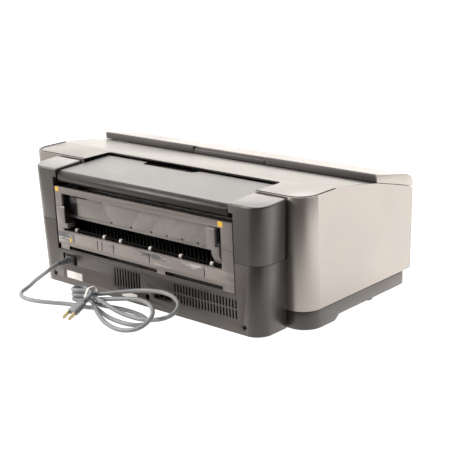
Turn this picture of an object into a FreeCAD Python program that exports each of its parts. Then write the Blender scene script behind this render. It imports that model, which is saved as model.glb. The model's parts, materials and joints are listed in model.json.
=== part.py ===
import FreeCAD, Part
import math
import os

import Sketcher

# Wide-format inkjet printer, rear feed, front door.
# Frame: +X to the user's right, -Y to the front, +Z up, origin on the floor under the middle of the case.
# Depths along the case are given as a reach: the distance forward from the rear face.

SIZES = {
    # Overall case
    "body_width": 597.0,
    "deck_height": 198.8,
    "case_wall": 3.0,
    "case_gap": 0.8,
    "fit_gap": 0.3,
    "pin_gap": 0.05,
    # Rear housing
    "rear_width": 495.0,
    "rear_shift": 21.0,
    "rear_seam": 0.5,
    "rear_top_reach": 53.6,
    "rear_deck": 194.2,
    "rear_deck_rise": 3.2,
    "rear_draft": 9.0,
    "rear_round": 24.0,
    "brow_round": 2.6,
    "seam_height": 108.4,
    "rear_clear": 1.5,
    # Silver case and its curved top line
    "panel_reach": 58.5,
    "panel_bottom": 30.2,
    "panel_round": 30.0,
    "crease_reach": 132.0,
    "front_reach": 325.0,
    "front_drop": 40.3,
    "front_lean": 7.0,
    # Base tray and feet
    "base_height": 9.0,
    "front_inset": 19.0,
    "heel_reach": 122.0,
    "heel_width": 46.0,
    "foot_radius": 11.0,
    # Rear feed lid
    "lid_width": 367.0,
    "lid_gap": 3.1,
    "lid_front": 115.5,
    "lid_drop": 4.4,
    "lid_roll": 10.5,
    "lid_axis_reach": 11.5,
    "lid_axis_height": 181.0,
    "lid_pin": 3.0,
    "notch_width": 124.0,
    "notch_shift": 8.0,
    "notch_depth": 14.0,
    # Top cover hinge
    "cover_axis_inset": 4.5,
    "cover_pin": 1.0,
    # Front door
    "door_reach": 230.0,
    "door_thick": 12.6,
    "door_skin": 11.0,
    "door_bottom": 66.0,
    "door_end": 190.0,
    "door_pin": 2.5,
    "band_depth": 8.0,
    "handle_width": 156.0,
    "handle_slit": 1.6,
    # Transport unit
    "unit_width": 385.0,
    "unit_gap": 2.3,
    "unit_bottom": 61.0,
    "unit_top": 165.5,
    "unit_depth": 44.0,
    "window_bottom": 93.0,
    "window_top": 155.0,
    "window_left": 177.0,
    "window_right": 170.0,
    "roller_height": 93.8,
    "roller_reach": 11.0,
    "roller_radius": 4.6,
    "latch_pin": 2.0,
    "latch_rise": 8.2,
    "latch_out": 1.8,
    # Mechanism
    "frame_span": 472.0,
    "frame_thick": 2.0,
    "rail_reach": 150.0,
    "rail_depth": 48.8,
    "rail_radius": 5.0,
    "carriage_width": 120.0,
    "carriage_floor": 119.0,
    "carriage_front": 236.0,
    "carriage_wall": 4.0,
    "feed_reach": 172.0,
    "feed_height": 96.0,
    "feed_radius": 6.0,
    "pulley_radius": 14.0,
    "belt_thick": 1.2,
    "belt_radius": 5.5,
    "belt_rise": 23.0,
    "beam_depth": 12.8,
    "beam_reach": 136.0,
    "exit_reach": 247.0,
    "motor_drop": 44.0,
    "tank_count": 5.0,
    # Paper handling
    "tray_top": 168.0,
    "tray_reach": 26.0,
    "tray_end": 131.0,
    "tray_fall": 47.0,
    "guide_spread": 150.0,
    "cassette_width": 340.0,
    "cassette_height": 36.0,
    "cassette_back": 112.0,
    # Rear panel details
    "inlet_side": 167.0,
    "inlet_height": 44.4,
    "inlet_width": 33.4,
    "inlet_rise": 21.0,
    "vent_width": 3.0,
    "vent_pitch": 6.1,
    "vent_low": 23.5,
    "vent_high": 52.5,
    # Mains lead
    "cord_diameter": 6.6,
}

document = FreeCAD.newDocument("printer")
sheet = document.addObject("Spreadsheet::Sheet", "Sizes")
for row, (alias, size) in enumerate(SIZES.items(), start=1):
    sheet.set(f"A{row}", str(size))
    sheet.setAlias(f"A{row}", alias)
document.recompute()


class Size:
    """A length that follows the sheet: its formula and its present value."""

    def __init__(self, formula, value):
        self.formula = formula
        self.value = value

    def join(self, sign, other, swap=False):
        left, right = (as_size(other), self) if swap else (self, as_size(other))
        a, b = left.value, right.value
        value = {"+": a + b, "-": a - b, "*": a * b}[sign] if sign != "/" else a / b
        return Size(f"({left.formula} {sign} {right.formula})", value)

    def __add__(self, other):
        return self.join("+", other)

    def __radd__(self, other):
        return self.join("+", other, True)

    def __sub__(self, other):
        return self.join("-", other)

    def __rsub__(self, other):
        return self.join("-", other, True)

    def __mul__(self, other):
        return self.join("*", other)

    def __rmul__(self, other):
        return self.join("*", other, True)

    def __truediv__(self, other):
        return self.join("/", other)

    def __neg__(self):
        return Size(f"(0 - {self.formula})", -self.value)


def as_size(item):
    """A plain number as a size."""
    if isinstance(item, Size):
        return item
    return Size(f"({float(item)!r})", float(item))


def val(item):
    """The present value of a size or number."""
    return as_size(item).value


def bind(item, field, size):
    """Ties one property of an object to a size."""
    item.setExpression(field, as_size(size).formula)


def place(item, x, y, z):
    """Ties an object's position to sizes."""
    for field, size in zip("xyz", (x, y, z)):
        bind(item, f"Placement.Base.{field}", size)


def sized(alias):
    """The sheet's size of that name."""
    return Size(f"Sizes.{alias}", float(sheet.get(alias)))


half_width = sized("body_width") / 2
half_depth = sized("front_reach") / 2
wall = sized("case_wall")
gap = sized("case_gap")
fit = sized("fit_gap")
play = sized("pin_gap")
deck = sized("deck_height")
rear_x = -sized("rear_shift")
nodes = []


def keep(item, name):
    """Marks an object as a finished piece under its own name."""
    item.Label = name
    nodes.append(item)
    return item


def block(name, x, reach, height):
    """A box from ranges of X, reach and height."""
    item = document.addObject("Part::Box", name)
    bind(item, "Length", as_size(x[1]) - x[0])
    bind(item, "Width", as_size(reach[1]) - reach[0])
    bind(item, "Height", as_size(height[1]) - height[0])
    place(item, x[0], half_depth - reach[1], height[0])
    return item


def rod(name, radius, x, reach, height):
    """A cylinder along X."""
    item = document.addObject("Part::Cylinder", name)
    bind(item, "Radius", radius)
    bind(item, "Height", as_size(x[1]) - x[0])
    item.Placement.Rotation = FreeCAD.Rotation(FreeCAD.Vector(0, 1, 0), 90)
    place(item, x[0], half_depth - reach, height)
    return item


def pillar(name, radius, x, reach, height):
    """A cylinder along Z."""
    item = document.addObject("Part::Cylinder", name)
    bind(item, "Radius", radius)
    bind(item, "Height", as_size(height[1]) - height[0])
    place(item, x, half_depth - reach, height[0])
    return item


def peg(name, radius, x, reach, height):
    """A cylinder along Y, from the first reach to the second."""
    item = document.addObject("Part::Cylinder", name)
    bind(item, "Radius", radius)
    bind(item, "Height", as_size(reach[1]) - reach[0])
    item.Placement.Rotation = FreeCAD.Rotation(FreeCAD.Vector(1, 0, 0), 90)
    place(item, x, half_depth - reach[0], height)
    return item


def outline(name, plane, points, length, rounds=()):
    """A padded outline; rounds holds (corner numbers, radius) for edges along the pad."""
    body = document.addObject("PartDesign::Body", name)
    sketch = body.newObject("Sketcher::SketchObject", name + "_sketch")
    support = [item for item in body.Origin.OriginFeatures if item.Role == plane][0]
    sketch.AttachmentSupport = [(support, "")]
    sketch.MapMode = "FlatFace"
    flat = [FreeCAD.Vector(val(a), val(b), 0) for a, b in points]
    for first, second in zip(flat, flat[1:] + flat[:1]):
        sketch.addGeometry(Part.LineSegment(first, second), False)
    for corner, (a, b) in enumerate(points):
        following = (corner + 1) % len(points)
        sketch.addConstraint(Sketcher.Constraint("Coincident", corner, 2, following, 1))
    for corner, (a, b) in enumerate(points):
        for kind, size in (("DistanceX", a), ("DistanceY", b)):
            link = sketch.addConstraint(Sketcher.Constraint(kind, -1, 1, corner, 1, val(size)))
            sketch.setExpression(f"Constraints[{link}]", as_size(size).formula)
    pad = body.newObject("PartDesign::Pad", name + "_pad")
    pad.Profile = sketch
    bind(pad, "Length", length)
    document.recompute()
    last = pad
    for corners, radius in rounds:
        wanted = [flat[corner] for corner in corners]
        names = []
        for number, edge in enumerate(last.Shape.Edges, start=1):
            ends = [flatten(plane, vertex.Point) for vertex in edge.Vertexes]
            if len(ends) == 2 and any(all(end.distanceToPoint(spot) < 1e-4 for end in ends) for spot in wanted):
                names.append(f"Edge{number}")
        fillet = body.newObject("PartDesign::Fillet", name + "_round")
        fillet.Base = (last, names)
        bind(fillet, "Radius", radius)
        document.recompute()
        last = fillet
    return body


def flatten(plane, point):
    """A point seen along a sketch plane's normal."""
    if plane == "YZ_Plane":
        return FreeCAD.Vector(point.y, point.z, 0)
    if plane == "XZ_Plane":
        return FreeCAD.Vector(point.x, point.z, 0)
    return FreeCAD.Vector(point.x, point.y, 0)


def side_prism(name, points, x, rounds=()):
    """An outline of (reach, height) points carried along X."""
    flat = [(half_depth - reach, height) for reach, height in points]
    body = outline(name, "YZ_Plane", flat, as_size(x[1]) - x[0], rounds)
    bind(body, "Placement.Base.x", x[0])
    return body


def plan_prism(name, points, height, rounds=()):
    """An outline of (x, reach) points carried upwards."""
    flat = [(x, half_depth - reach) for x, reach in points]
    body = outline(name, "XY_Plane", flat, as_size(height[1]) - height[0], rounds)
    bind(body, "Placement.Base.z", height[0])
    return body


def rear_prism(name, points, reach, rounds=()):
    """An outline of (x, height) points carried forward."""
    body = outline(name, "XZ_Plane", points, as_size(reach[1]) - reach[0], rounds)
    bind(body, "Placement.Base.y", half_depth - reach[0])
    return body


def fuse(name, shapes):
    """Joins shapes into one."""
    item = document.addObject("Part::MultiFuse", name)
    item.Shapes = shapes
    item.Refine = True
    return item


def cut(name, base, tools):
    """Takes the tools away from the base."""
    tool = tools[0]
    if len(tools) > 1:
        tool = document.addObject("Part::Compound", name + "_tools")
        tool.Links = tools
    item = document.addObject("Part::Cut", name)
    item.Base = base
    item.Tool = tool
    item.Refine = True
    return item


def common(name, base, tool):
    """What two shapes share."""
    item = document.addObject("Part::Common", name)
    item.Base = base
    item.Tool = tool
    item.Refine = True
    return item


def rounded(name, base, radius, chooser):
    """Rounds the straight edges that the chooser picks by their two ends."""
    document.recompute()
    picks = []
    for number, edge in enumerate(base.Shape.Edges, start=1):
        if len(edge.Vertexes) == 2 and chooser(edge.Vertexes[0].Point, edge.Vertexes[1].Point):
            picks.append((number, val(radius), val(radius)))
    item = document.addObject("Part::Fillet", name)
    item.Base = base
    item.Edges = picks
    document.recompute()
    return item


def group(name, shapes):
    """Like pieces under one name."""
    item = document.addObject("Part::Compound", name)
    item.Links = shapes
    return item


# The curved top line: shares of the way from the crease to the front, and of the drop.
TOP_LINE = ((0.0, 0.0), (0.161, 0.084), (0.35, 0.198), (0.518, 0.342), (0.679, 0.543), (0.874, 0.787), (1.0, 1.0))
crease = sized("crease_reach")
slope_run = sized("front_reach") - crease


def surface(reach):
    """Height of the case's top line at a reach."""
    share = (as_size(reach) - crease) / slope_run
    if share.value <= 0:
        return deck
    for (a0, b0), (a1, b1) in zip(TOP_LINE, TOP_LINE[1:]):
        if share.value <= a1 + 1e-9:
            break
    return deck - sized("front_drop") * ((share - a0) * ((b1 - b0) / (a1 - a0)) + b0)


def top_points(start, end, offset=0):
    """Points of the top line from one reach to another, lowered by an offset."""
    reaches = [as_size(start)]
    for share, drop in TOP_LINE:
        spot = crease + slope_run * share
        if val(start) + 1 < spot.value < val(end) - 1:
            reaches.append(spot)
    reaches.append(as_size(end))
    return [(reach, surface(reach) - offset) for reach in reaches]


# Base tray: floor, low walls, heels under the rear corners.
base_z = sized("base_height")
base_top = sized("panel_bottom") - 0.6
panel_reach = sized("panel_reach")
base_rear = panel_reach + 1.5
base_front = sized("front_reach") - sized("front_inset")
panel_round = sized("panel_round")
base_outer = plan_prism(
    "base_outer",
    [(-half_width, base_rear), (half_width, base_rear), (half_width, base_front), (-half_width, base_front)],
    (base_z, base_top),
    [((0, 1), panel_round), ((2, 3), 12)],
)
base_inner = plan_prism(
    "base_inner",
    [
        (-half_width + wall, base_rear + wall),
        (half_width - wall, base_rear + wall),
        (half_width - wall, base_front - wall),
        (-half_width + wall, base_front - wall),
    ],
    (base_z + wall, base_top + 1),
    [((0, 1), panel_round - wall), ((2, 3), 9)],
)
cassette_half = sized("cassette_width") / 2
cassette_floor = base_z + wall + fit
cassette_top = cassette_floor + sized("cassette_height")
base_mouth = block(
    "base_mouth",
    (-cassette_half - 17, cassette_half + 17),
    (base_front - 10, base_front + 10),
    (base_z + wall, base_top + 1),
)
base_shell = cut("base_shell", base_outer, [base_inner, base_mouth])
heel_reach = sized("heel_reach")
heel_profile = side_prism(
    "heel_profile",
    [
        (base_rear, sized("rear_clear")),
        (heel_reach, sized("rear_clear")),
        (heel_reach + 11, base_z),
        (base_rear, base_z),
    ],
    (-half_width, half_width),
)
heel_plan = plan_prism(
    "heel_plan",
    [
        (-half_width, base_rear),
        (half_width, base_rear),
        (half_width, heel_reach + 20),
        (-half_width, heel_reach + 20),
    ],
    (0, base_z + 1),
    [((0, 1), panel_round)],
)
heel_middle = block(
    "heel_middle",
    (-half_width + sized("heel_width"), half_width - sized("heel_width")),
    (base_rear - 5, heel_reach + 30),
    (-1, base_z + 2),
)
heels = cut("heels", common("heel_round", heel_profile, heel_plan), [heel_middle])
keep(fuse("base_tray", [base_shell, heels]), "base_tray")

foot = sized("foot_radius")
foot_x = half_width - sized("heel_width") / 2
feet = []
for side in (-1, 1):
    feet.append(pillar("heel_foot", foot, foot_x * side, heel_reach - 30, (0, sized("rear_clear"))))
    feet.append(pillar("front_foot", foot, foot_x * side, base_front - 77, (0, base_z)))
keep(group("rubber_feet", feet), "rubber_feet")

# Rear lower case: slightly drafted sides, rounded rear corners, openings in the rear wall.
rear_half = sized("rear_width") / 2
rear_deck = sized("rear_deck")
seam = sized("seam_height")
unit_half = sized("unit_width") / 2
unit_bottom = sized("unit_bottom")
unit_gap = sized("unit_gap")
unit_top = sized("unit_top")
rear_reach = panel_reach - sized("rear_seam")
rear_round = sized("rear_round")
rear_floor = sized("rear_clear")


def rear_edge(height, side, inset=0):
    """X of the drafted side of the rear housing at a height."""
    return rear_x + (rear_half - sized("rear_draft") * (1 - as_size(height) / rear_deck) - inset) * side


def at_rear_corner(first, second):
    """True for the upright edges at the rear corners."""
    rear_y = val(half_depth)
    upright = abs(first.z - second.z) > 20
    return upright and abs(first.y - rear_y) < 0.01 and abs(second.y - rear_y) < 0.01


case_outer = rear_prism(
    "case_outer",
    [
        (rear_edge(rear_floor, -1), rear_floor),
        (rear_edge(rear_floor, 1), rear_floor),
        (rear_edge(seam, 1), seam - 0.25),
        (rear_edge(seam, -1), seam - 0.25),
    ],
    (0, rear_reach),
)
case_round = rounded("case_round", case_outer, rear_round, at_rear_corner)
case_inner = rear_prism(
    "case_inner",
    [
        (rear_edge(rear_floor, -1, wall + 1), rear_floor + wall),
        (rear_edge(rear_floor, 1, wall + 1), rear_floor + wall),
        (rear_edge(seam, 1, wall), seam + 1),
        (rear_edge(seam, -1, wall), seam + 1),
    ],
    (wall, rear_reach + 1),
)
case_cavity = rounded(
    "case_cavity",
    case_inner,
    rear_round - wall,
    lambda first, second: abs(first.z - second.z) > 20
    and abs(first.y - val(half_depth - wall)) < 0.01
    and abs(second.y - val(half_depth - wall)) < 0.01,
)
unit_mouth = block(
    "unit_mouth",
    (rear_x - unit_half - unit_gap, rear_x + unit_half + unit_gap),
    (-1, wall + 1),
    (unit_bottom - 0.7, seam + 1),
)
inlet_x = rear_x + sized("inlet_side")
inlet_z = sized("inlet_height")
inlet_half = sized("inlet_width") / 2
inlet_rise = sized("inlet_rise") / 2
inlet_mouth = block(
    "inlet_mouth",
    (inlet_x - inlet_half, inlet_x + inlet_half),
    (-1, wall + 1),
    (inlet_z - inlet_rise, inlet_z + inlet_rise),
)
port_low = 20.0
port_high = 32.0
port_mouth = block("port_mouth", (rear_x - 64.5, rear_x - 27), (-1, wall + 1), (port_low, port_high))
rear_openings = [unit_mouth, inlet_mouth, port_mouth]
rear_openings.append(peg("lock_hole", 4.6, rear_x - 11.5, (-1, wall + 1), 18.5))
rear_openings.append(peg("pin_hole", 1.2, rear_x + 3, (-1, wall + 1), 24.7))
vent_half = sized("vent_width") / 2
vent_low = sized("vent_low")
vent_high = sized("vent_high")
for first, count, split in ((-59.5, 10, False), (72.5, 21, True)):
    for slot in range(count):
        x = rear_x - first - sized("vent_pitch") * slot
        spans = [(vent_low, vent_high)]
        if split:
            middle = (vent_low + vent_high) / 2
            spans = [(vent_low, middle - 1.2), (middle + 1.2, vent_high)]
        for span in spans:
            rear_openings.append(block("vent", (x - vent_half, x + vent_half), (-1, wall + 1), span))
screw_spots = ((rear_x + 206.5, 15.0), (rear_x - 209.5, 13.4))
for x, z in screw_spots:
    rear_openings.append(peg("screw_recess", 4.2, x, (-1, 1.8), z))
    rear_openings.append(peg("screw_way", 1.9, x, (-1, wall + 1), z))
case_shell = cut("case_shell", case_round, [case_cavity] + rear_openings)
board_reach = 12.0
board_posts = []
for x in (rear_x - 185, rear_x - 18):
    board_posts.append(peg("board_post", 3, x, (wall - 0.5, board_reach - fit), 14))
keep(fuse("rear_lower_case", [case_shell] + board_posts), "rear_lower_case")

screws = []
for x, z in screw_spots:
    head = peg("screw_head", 3.8, x, (0.3, 1.7), z)
    shank = peg("screw_shank", 1.7, x, (1.5, 11), z)
    slot = block("screw_slot", (x - 2.6, x + 2.6), (0, 0.9), (as_size(z) - 0.5, as_size(z) + 0.5))
    post = block("screw_cross", (x - 0.5, x + 0.5), (0, 0.9), (as_size(z) - 2.6, as_size(z) + 2.6))
    screws.append(cut("screw", fuse("screw_body", [head, shank]), [slot, post]))
keep(group("case_screws", screws), "case_screws")

# Rear upper case: two hollow posts beside the lid, joined by a beam behind the transport unit.
lid_half = sized("lid_width") / 2
lid_bay = lid_half + sized("lid_gap")
post_bay = unit_half + unit_gap
step_height = sized("lid_axis_height") - 0.5
rear_top_reach = sized("rear_top_reach")
post_low = seam + 0.25
top_slope = side_prism(
    "top_slope",
    [
        (0, post_low),
        (rear_top_reach, post_low),
        (rear_top_reach, rear_deck + sized("rear_deck_rise")),
        (0, rear_deck),
    ],
    (rear_x - rear_half - 5, rear_x + rear_half + 5),
)
lid_axis_reach = sized("lid_axis_reach")
lid_axis_height = sized("lid_axis_height")
lid_pin = sized("lid_pin")
posts = []
for side in (-1, 1):
    high = rear_deck + 8
    post = rear_prism(
        "post",
        [
            (rear_edge(post_low, side), post_low),
            (rear_x + post_bay * side, post_low),
            (rear_x + post_bay * side, step_height),
            (rear_x + lid_bay * side, step_height),
            (rear_x + lid_bay * side, high),
            (rear_edge(high, side), high),
        ],
        (0, rear_top_reach),
    )
    solid = common("post_solid", post, top_slope)
    solid = rounded(
        "post_corner",
        solid,
        rear_round,
        lambda first, second, side=side: at_rear_corner(first, second)
        and abs((first.x + second.x) / 2 - val(rear_edge((post_low + rear_deck) / 2, side))) < 4,
    )
    solid = rounded(
        "post_brow",
        solid,
        sized("brow_round"),
        lambda first, second: min(first.z, second.z) > val(rear_deck) - 0.1
        and max(first.y, second.y) > val(half_depth - rear_top_reach) + 1,
    )
    hollow = rear_prism(
        "post_hollow",
        [
            (rear_edge(post_low, side, wall), post_low - 1),
            (rear_x + (post_bay + wall) * side, post_low - 1),
            (rear_x + (post_bay + wall) * side, rear_deck - wall),
            (rear_edge(rear_deck, side, wall), rear_deck - wall),
        ],
        (wall, rear_top_reach + 1),
    )
    hollow = rounded(
        "post_cavity",
        hollow,
        rear_round - wall,
        lambda first, second, side=side: abs(first.z - second.z) > 20
        and abs(first.y - val(half_depth - wall)) < 0.01
        and abs(second.y - val(half_depth - wall)) < 0.01
        and abs((first.x + second.x) / 2 - val(rear_edge(post_low, side))) < 12,
    )
    posts.append(cut("post_shell", solid, [hollow]))
tray_top = sized("tray_top")
tray_reach = sized("tray_reach")
tray_end = sized("tray_end")
tray_fall = sized("tray_fall")


def tray_line(reach):
    """Height of the feed tray's upper face at a reach."""
    return tray_top - tray_fall * ((as_size(reach) - tray_reach) / (tray_end - tray_reach))


beam_back = sized("unit_depth") + 4
beam = block(
    "beam",
    (rear_x - post_bay - 1, rear_x + post_bay + 1),
    (beam_back, beam_back + wall),
    (post_low, tray_line(beam_back + wall) - wall - fit),
)
lid_bores = rod(
    "lid_bores",
    lid_pin + play,
    (rear_x - lid_bay - 8, rear_x + lid_bay + 8),
    lid_axis_reach,
    lid_axis_height,
)
keep(cut("rear_upper_case", fuse("upper_body", posts + [beam]), [lid_bores]), "rear_upper_case")

# Silver side panels: one sleeve with rounded rear corners, parted into left and right.
front_reach = sized("front_reach")
panel_bottom = sized("panel_bottom")
sleeve_outer = side_prism(
    "sleeve_outer",
    [(panel_reach, panel_bottom), (front_reach - sized("front_lean"), panel_bottom)]
    + list(reversed(top_points(panel_reach, front_reach))),
    (-half_width, half_width),
)
sleeve_round = rounded(
    "sleeve_round",
    sleeve_outer,
    panel_round,
    lambda first, second: abs(first.z - second.z) > 50
    and abs(first.y - val(half_depth - panel_reach)) < 0.01
    and abs(second.y - val(half_depth - panel_reach)) < 0.01,
)
sleeve_inner = plan_prism(
    "sleeve_inner",
    [
        (-half_width + wall, panel_reach + wall),
        (half_width - wall, panel_reach + wall),
        (half_width - wall, front_reach + 20),
        (-half_width + wall, front_reach + 20),
    ],
    (panel_bottom - 10, deck + 10),
    [((0, 1), panel_round - wall)],
)
sleeve = cut("sleeve", sleeve_round, [sleeve_inner])
cover_start = panel_reach + wall + gap
cover_axis_reach = cover_start + sized("cover_axis_inset")
cover_axis_height = deck - wall / 2
cover_pin = sized("cover_pin")
cover_pin_end = half_width - panel_round + panel_round * 0.583
door_axis_reach = front_reach - 8
door_axis_height = sized("door_bottom") + 4
door_pin = sized("door_pin")
for side, name in ((-1, "left_side_panel"), (1, "right_side_panel")):
    outer_x = half_width * side
    inner_x = rear_x + lid_bay * side
    span = (outer_x - 1, inner_x) if side < 0 else (inner_x, outer_x + 1)
    piece = common(name + "_half", sleeve, block(name + "_span", span, (0, front_reach + 10), (0, deck + 10)))
    bore_end = cover_pin_end + fit
    bore_x = (-bore_end, -bore_end + 12) if side < 0 else (bore_end - 12, bore_end)
    bores = [rod(name + "_bore", cover_pin + play, bore_x, cover_axis_reach, cover_axis_height)]
    if side < 0:
        blind = (outer_x + 1, outer_x + wall + 1)
        bores.append(rod("door_bore", door_pin + play, blind, door_axis_reach, door_axis_height))
    keep(cut(name, piece, bores), name)

# Top cover: a flush plate that follows the top line, with a bay for the lid.
door_reach = sized("door_reach")
cover_front = door_reach - 1.5
cover_half = half_width - wall - gap
cover_top = top_points(cover_start, cover_front)
cover_under = top_points(cover_start, cover_front, wall)
cover_plate = side_prism("cover_plate", cover_top + list(reversed(cover_under)), (-cover_half, cover_half))
cover_round = rounded(
    "cover_round",
    cover_plate,
    panel_round - wall + gap,
    lambda first, second: abs(first.y - val(half_depth - cover_start)) < 0.01
    and abs(second.y - val(half_depth - cover_start)) < 0.01
    and abs(first.x - second.x) < 0.01,
)
bay_front = sized("lid_front") + sized("lid_gap")
lid_bay_cut = plan_prism(
    "lid_bay_cut",
    [
        (rear_x - lid_bay, panel_reach - 10),
        (rear_x + lid_bay, panel_reach - 10),
        (rear_x + lid_bay, bay_front),
        (rear_x - lid_bay, bay_front),
    ],
    (deck - 20, deck + 10),
    [((2, 3), 7)],
)
cover_parts = [cut("cover_bayed", cover_round, [lid_bay_cut])]
for side in (-1, 1):
    pin_x = (-cover_pin_end, -cover_pin_end + 10) if side < 0 else (cover_pin_end - 10, cover_pin_end)
    cover_parts.append(rod("cover_pin", cover_pin, pin_x, cover_axis_reach, cover_axis_height))
keep(fuse("top_cover", cover_parts), "top_cover")

# Rear feed lid: thin plate with a rolled rear edge about its hinge.
lid_front = sized("lid_front")
lid_roll = sized("lid_roll")
lid_top_front = deck - sized("lid_drop")


def roll_point(radius, angle):
    """A point on the lid's rolled edge."""
    bend = math.radians(angle)
    return (lid_axis_reach - radius * math.cos(bend), lid_axis_height + radius * math.sin(bend))


lid_outline = [roll_point(lid_roll, angle) for angle in (-48, -30, -12, 6, 24, 42, 58, 72)]
lid_outline += [(lid_front - 2, lid_top_front), (lid_front, lid_top_front - 1), (lid_front, lid_top_front - wall)]
lid_outline += [(lid_axis_reach + 6, lid_axis_height + lid_roll - wall + 0.6)]
lid_outline += [roll_point(lid_roll - wall, angle) for angle in (75, 50, 25, 0, -25, -48)]
lid_x = (rear_x - lid_half, rear_x + lid_half)
lid_plate = side_prism("lid_plate", lid_outline, lid_x)
lid_parts = [lid_plate]
for side in (-1, 1):
    end = rear_x + lid_half * side
    cap_x = (end, end + wall) if side < 0 else (end - wall, end)
    pin_x = (end - sized("lid_gap") - 5, end + 1) if side < 0 else (end - 1, end + sized("lid_gap") + 5)
    lid_parts.append(rod("lid_cap", lid_roll - 0.4, cap_x, lid_axis_reach, lid_axis_height))
    lid_parts.append(rod("lid_pin", lid_pin, pin_x, lid_axis_reach, lid_axis_height))
notch_x = sized("notch_shift")
notch_half = sized("notch_width") / 2
notch_back = lid_front - sized("notch_depth")
notch = plan_prism(
    "notch",
    [
        (notch_x - notch_half, lid_front + 5),
        (notch_x - notch_half + 14, notch_back),
        (notch_x + notch_half, notch_back),
        (notch_x + notch_half, lid_front + 5),
    ],
    (deck - 30, deck + 5),
    [((1,), 12), ((2,), 6)],
)
keep(cut("rear_lid", fuse("lid_body", lid_parts), [notch]), "rear_lid")

# Front door: a slab over the sloping front of the top, turned down into the front panel.
door_thick = sized("door_thick")
door_skin = sized("door_skin")
door_bottom = sized("door_bottom")
band_front = door_reach + sized("band_depth")
slab_end = surface(front_reach) + 3
slab_under = top_points(door_reach, front_reach - door_skin, -1)
slab_top = surface(door_reach) + door_thick
slab = side_prism(
    "slab",
    slab_under
    + [
        (front_reach - door_skin, surface(front_reach - door_skin) + fit),
        (front_reach, slab_end),
        (front_reach, slab_end + 6),
        (front_reach - 3, slab_end + 13.5),
        (front_reach - 8.5, slab_end + 18.6),
        (front_reach - 17, slab_end + 22),
        (door_reach, slab_top),
    ],
    (-half_width, half_width),
)
door_left = -half_width + wall + gap
lean = sized("front_lean")
panel = side_prism(
    "panel",
    [
        (front_reach, slab_end + 4),
        (front_reach - door_skin, slab_end + 4),
        (front_reach - door_skin - 3, door_axis_height),
        (front_reach - door_skin - 1, door_bottom),
        (front_reach - 5, door_bottom),
        (front_reach - 4, door_axis_height),
    ],
    (door_left, sized("door_end")),
)
door_pins = rod(
    "door_pins",
    door_pin,
    (door_left - gap - 1.6, sized("door_end") + 4),
    door_axis_reach,
    door_axis_height,
)
band_pocket = block(
    "band_pocket",
    (-half_width + 2.4, half_width - 2.4),
    (door_reach - 1, band_front),
    (deck - 40, deck + 20),
)
keep(cut("door_shell", fuse("door_body", [slab, panel, door_pins]), [band_pocket]), "door_shell")
handle_half = sized("handle_width") / 2
handle_slit = sized("handle_slit")
band_points = [
    (door_reach, surface(door_reach) + 1),
    (band_front - fit, surface(band_front) + 1),
    (band_front - fit, slab_top - 1.7),
    (door_reach + 3.5, slab_top - 0.6),
    (door_reach + 1.2, slab_top - 1.6),
    (door_reach, slab_top - 4),
]
band = side_prism("band", band_points, (-half_width + 2.4 + fit, half_width - 2.4 - fit))
band_gap = block(
    "band_gap",
    (-handle_half - handle_slit, handle_half + handle_slit),
    (door_reach - 1, band_front + 1),
    (deck - 40, deck + 20),
)
keep(cut("door_band", band, [band_gap]), "door_band")
handle = side_prism(
    "handle",
    [
        (door_reach, surface(door_reach) + 1),
        (band_front - fit, surface(band_front) + 1),
        (band_front - fit, slab_top - 2.6),
        (door_reach + 4.5, slab_top - 2.2),
        (door_reach + 3.8, slab_top - 5.5),
        (door_reach, slab_top - 6),
    ],
    (-handle_half, handle_half),
)
keep(handle, "door_handle")

# Front fascia: wall behind the door with the paper outlet, and a sloping ledge under the slab.
fascia_half = half_width - wall - gap
fascia_reach = front_reach - sized("front_inset")
ledge_top = top_points(door_reach + 1, fascia_reach, 0.8)
ledge_under = top_points(door_reach + 1, fascia_reach - wall, wall + 0.8)
fascia = side_prism(
    "fascia",
    ledge_top
    + [(fascia_reach, panel_bottom + 0.5), (fascia_reach - wall, panel_bottom + 0.5)]
    + list(reversed(ledge_under)),
    (-fascia_half, fascia_half),
)
outlet = block("outlet", (-185, 185), (fascia_reach - 10, fascia_reach + 5), (door_bottom + 6, 142))
cassette_mouth = block(
    "cassette_mouth",
    (-cassette_half - 17, cassette_half + 17),
    (fascia_reach - 10, fascia_reach + 5),
    (panel_bottom - 5, cassette_top + 3),
)
keep(cut("front_fascia", fascia, [outlet, cassette_mouth]), "front_fascia")

control_x = (sized("door_end") + 1.5, half_width - wall - gap)
key_spots = (("power_key", 40.0, 132.0), ("resume_key", 40.0, 104.0))
control_face = front_reach - 4
control_body = block("control_body", control_x, (fascia_reach + fit, control_face), (door_bottom, slab_end - 3))
control_cuts = [
    rod("control_bore", door_pin + play, (control_x[0] - 1, control_x[0] + 4), door_axis_reach, door_axis_height),
    block(
        "control_hollow",
        (control_x[0] + 6, control_x[1] - wall),
        (fascia_reach - 1, control_face - wall),
        (door_bottom + wall, slab_end - 6),
    ),
]
for name, offset, z in key_spots:
    control_cuts.append(peg(name + "_hole", 7.4, control_x[0] + offset, (fascia_reach, front_reach + 5), z))
keep(cut("control_panel", control_body, control_cuts), "control_panel")
for name, offset, z in key_spots:
    x = control_x[0] + offset
    cap = peg(name + "_cap", 7, x, (control_face - 6, control_face + 2), z)
    rim = peg(name + "_rim", 9, x, (control_face - 6, control_face - wall - fit), z)
    keep(fuse(name, [cap, rim]), name)

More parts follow.
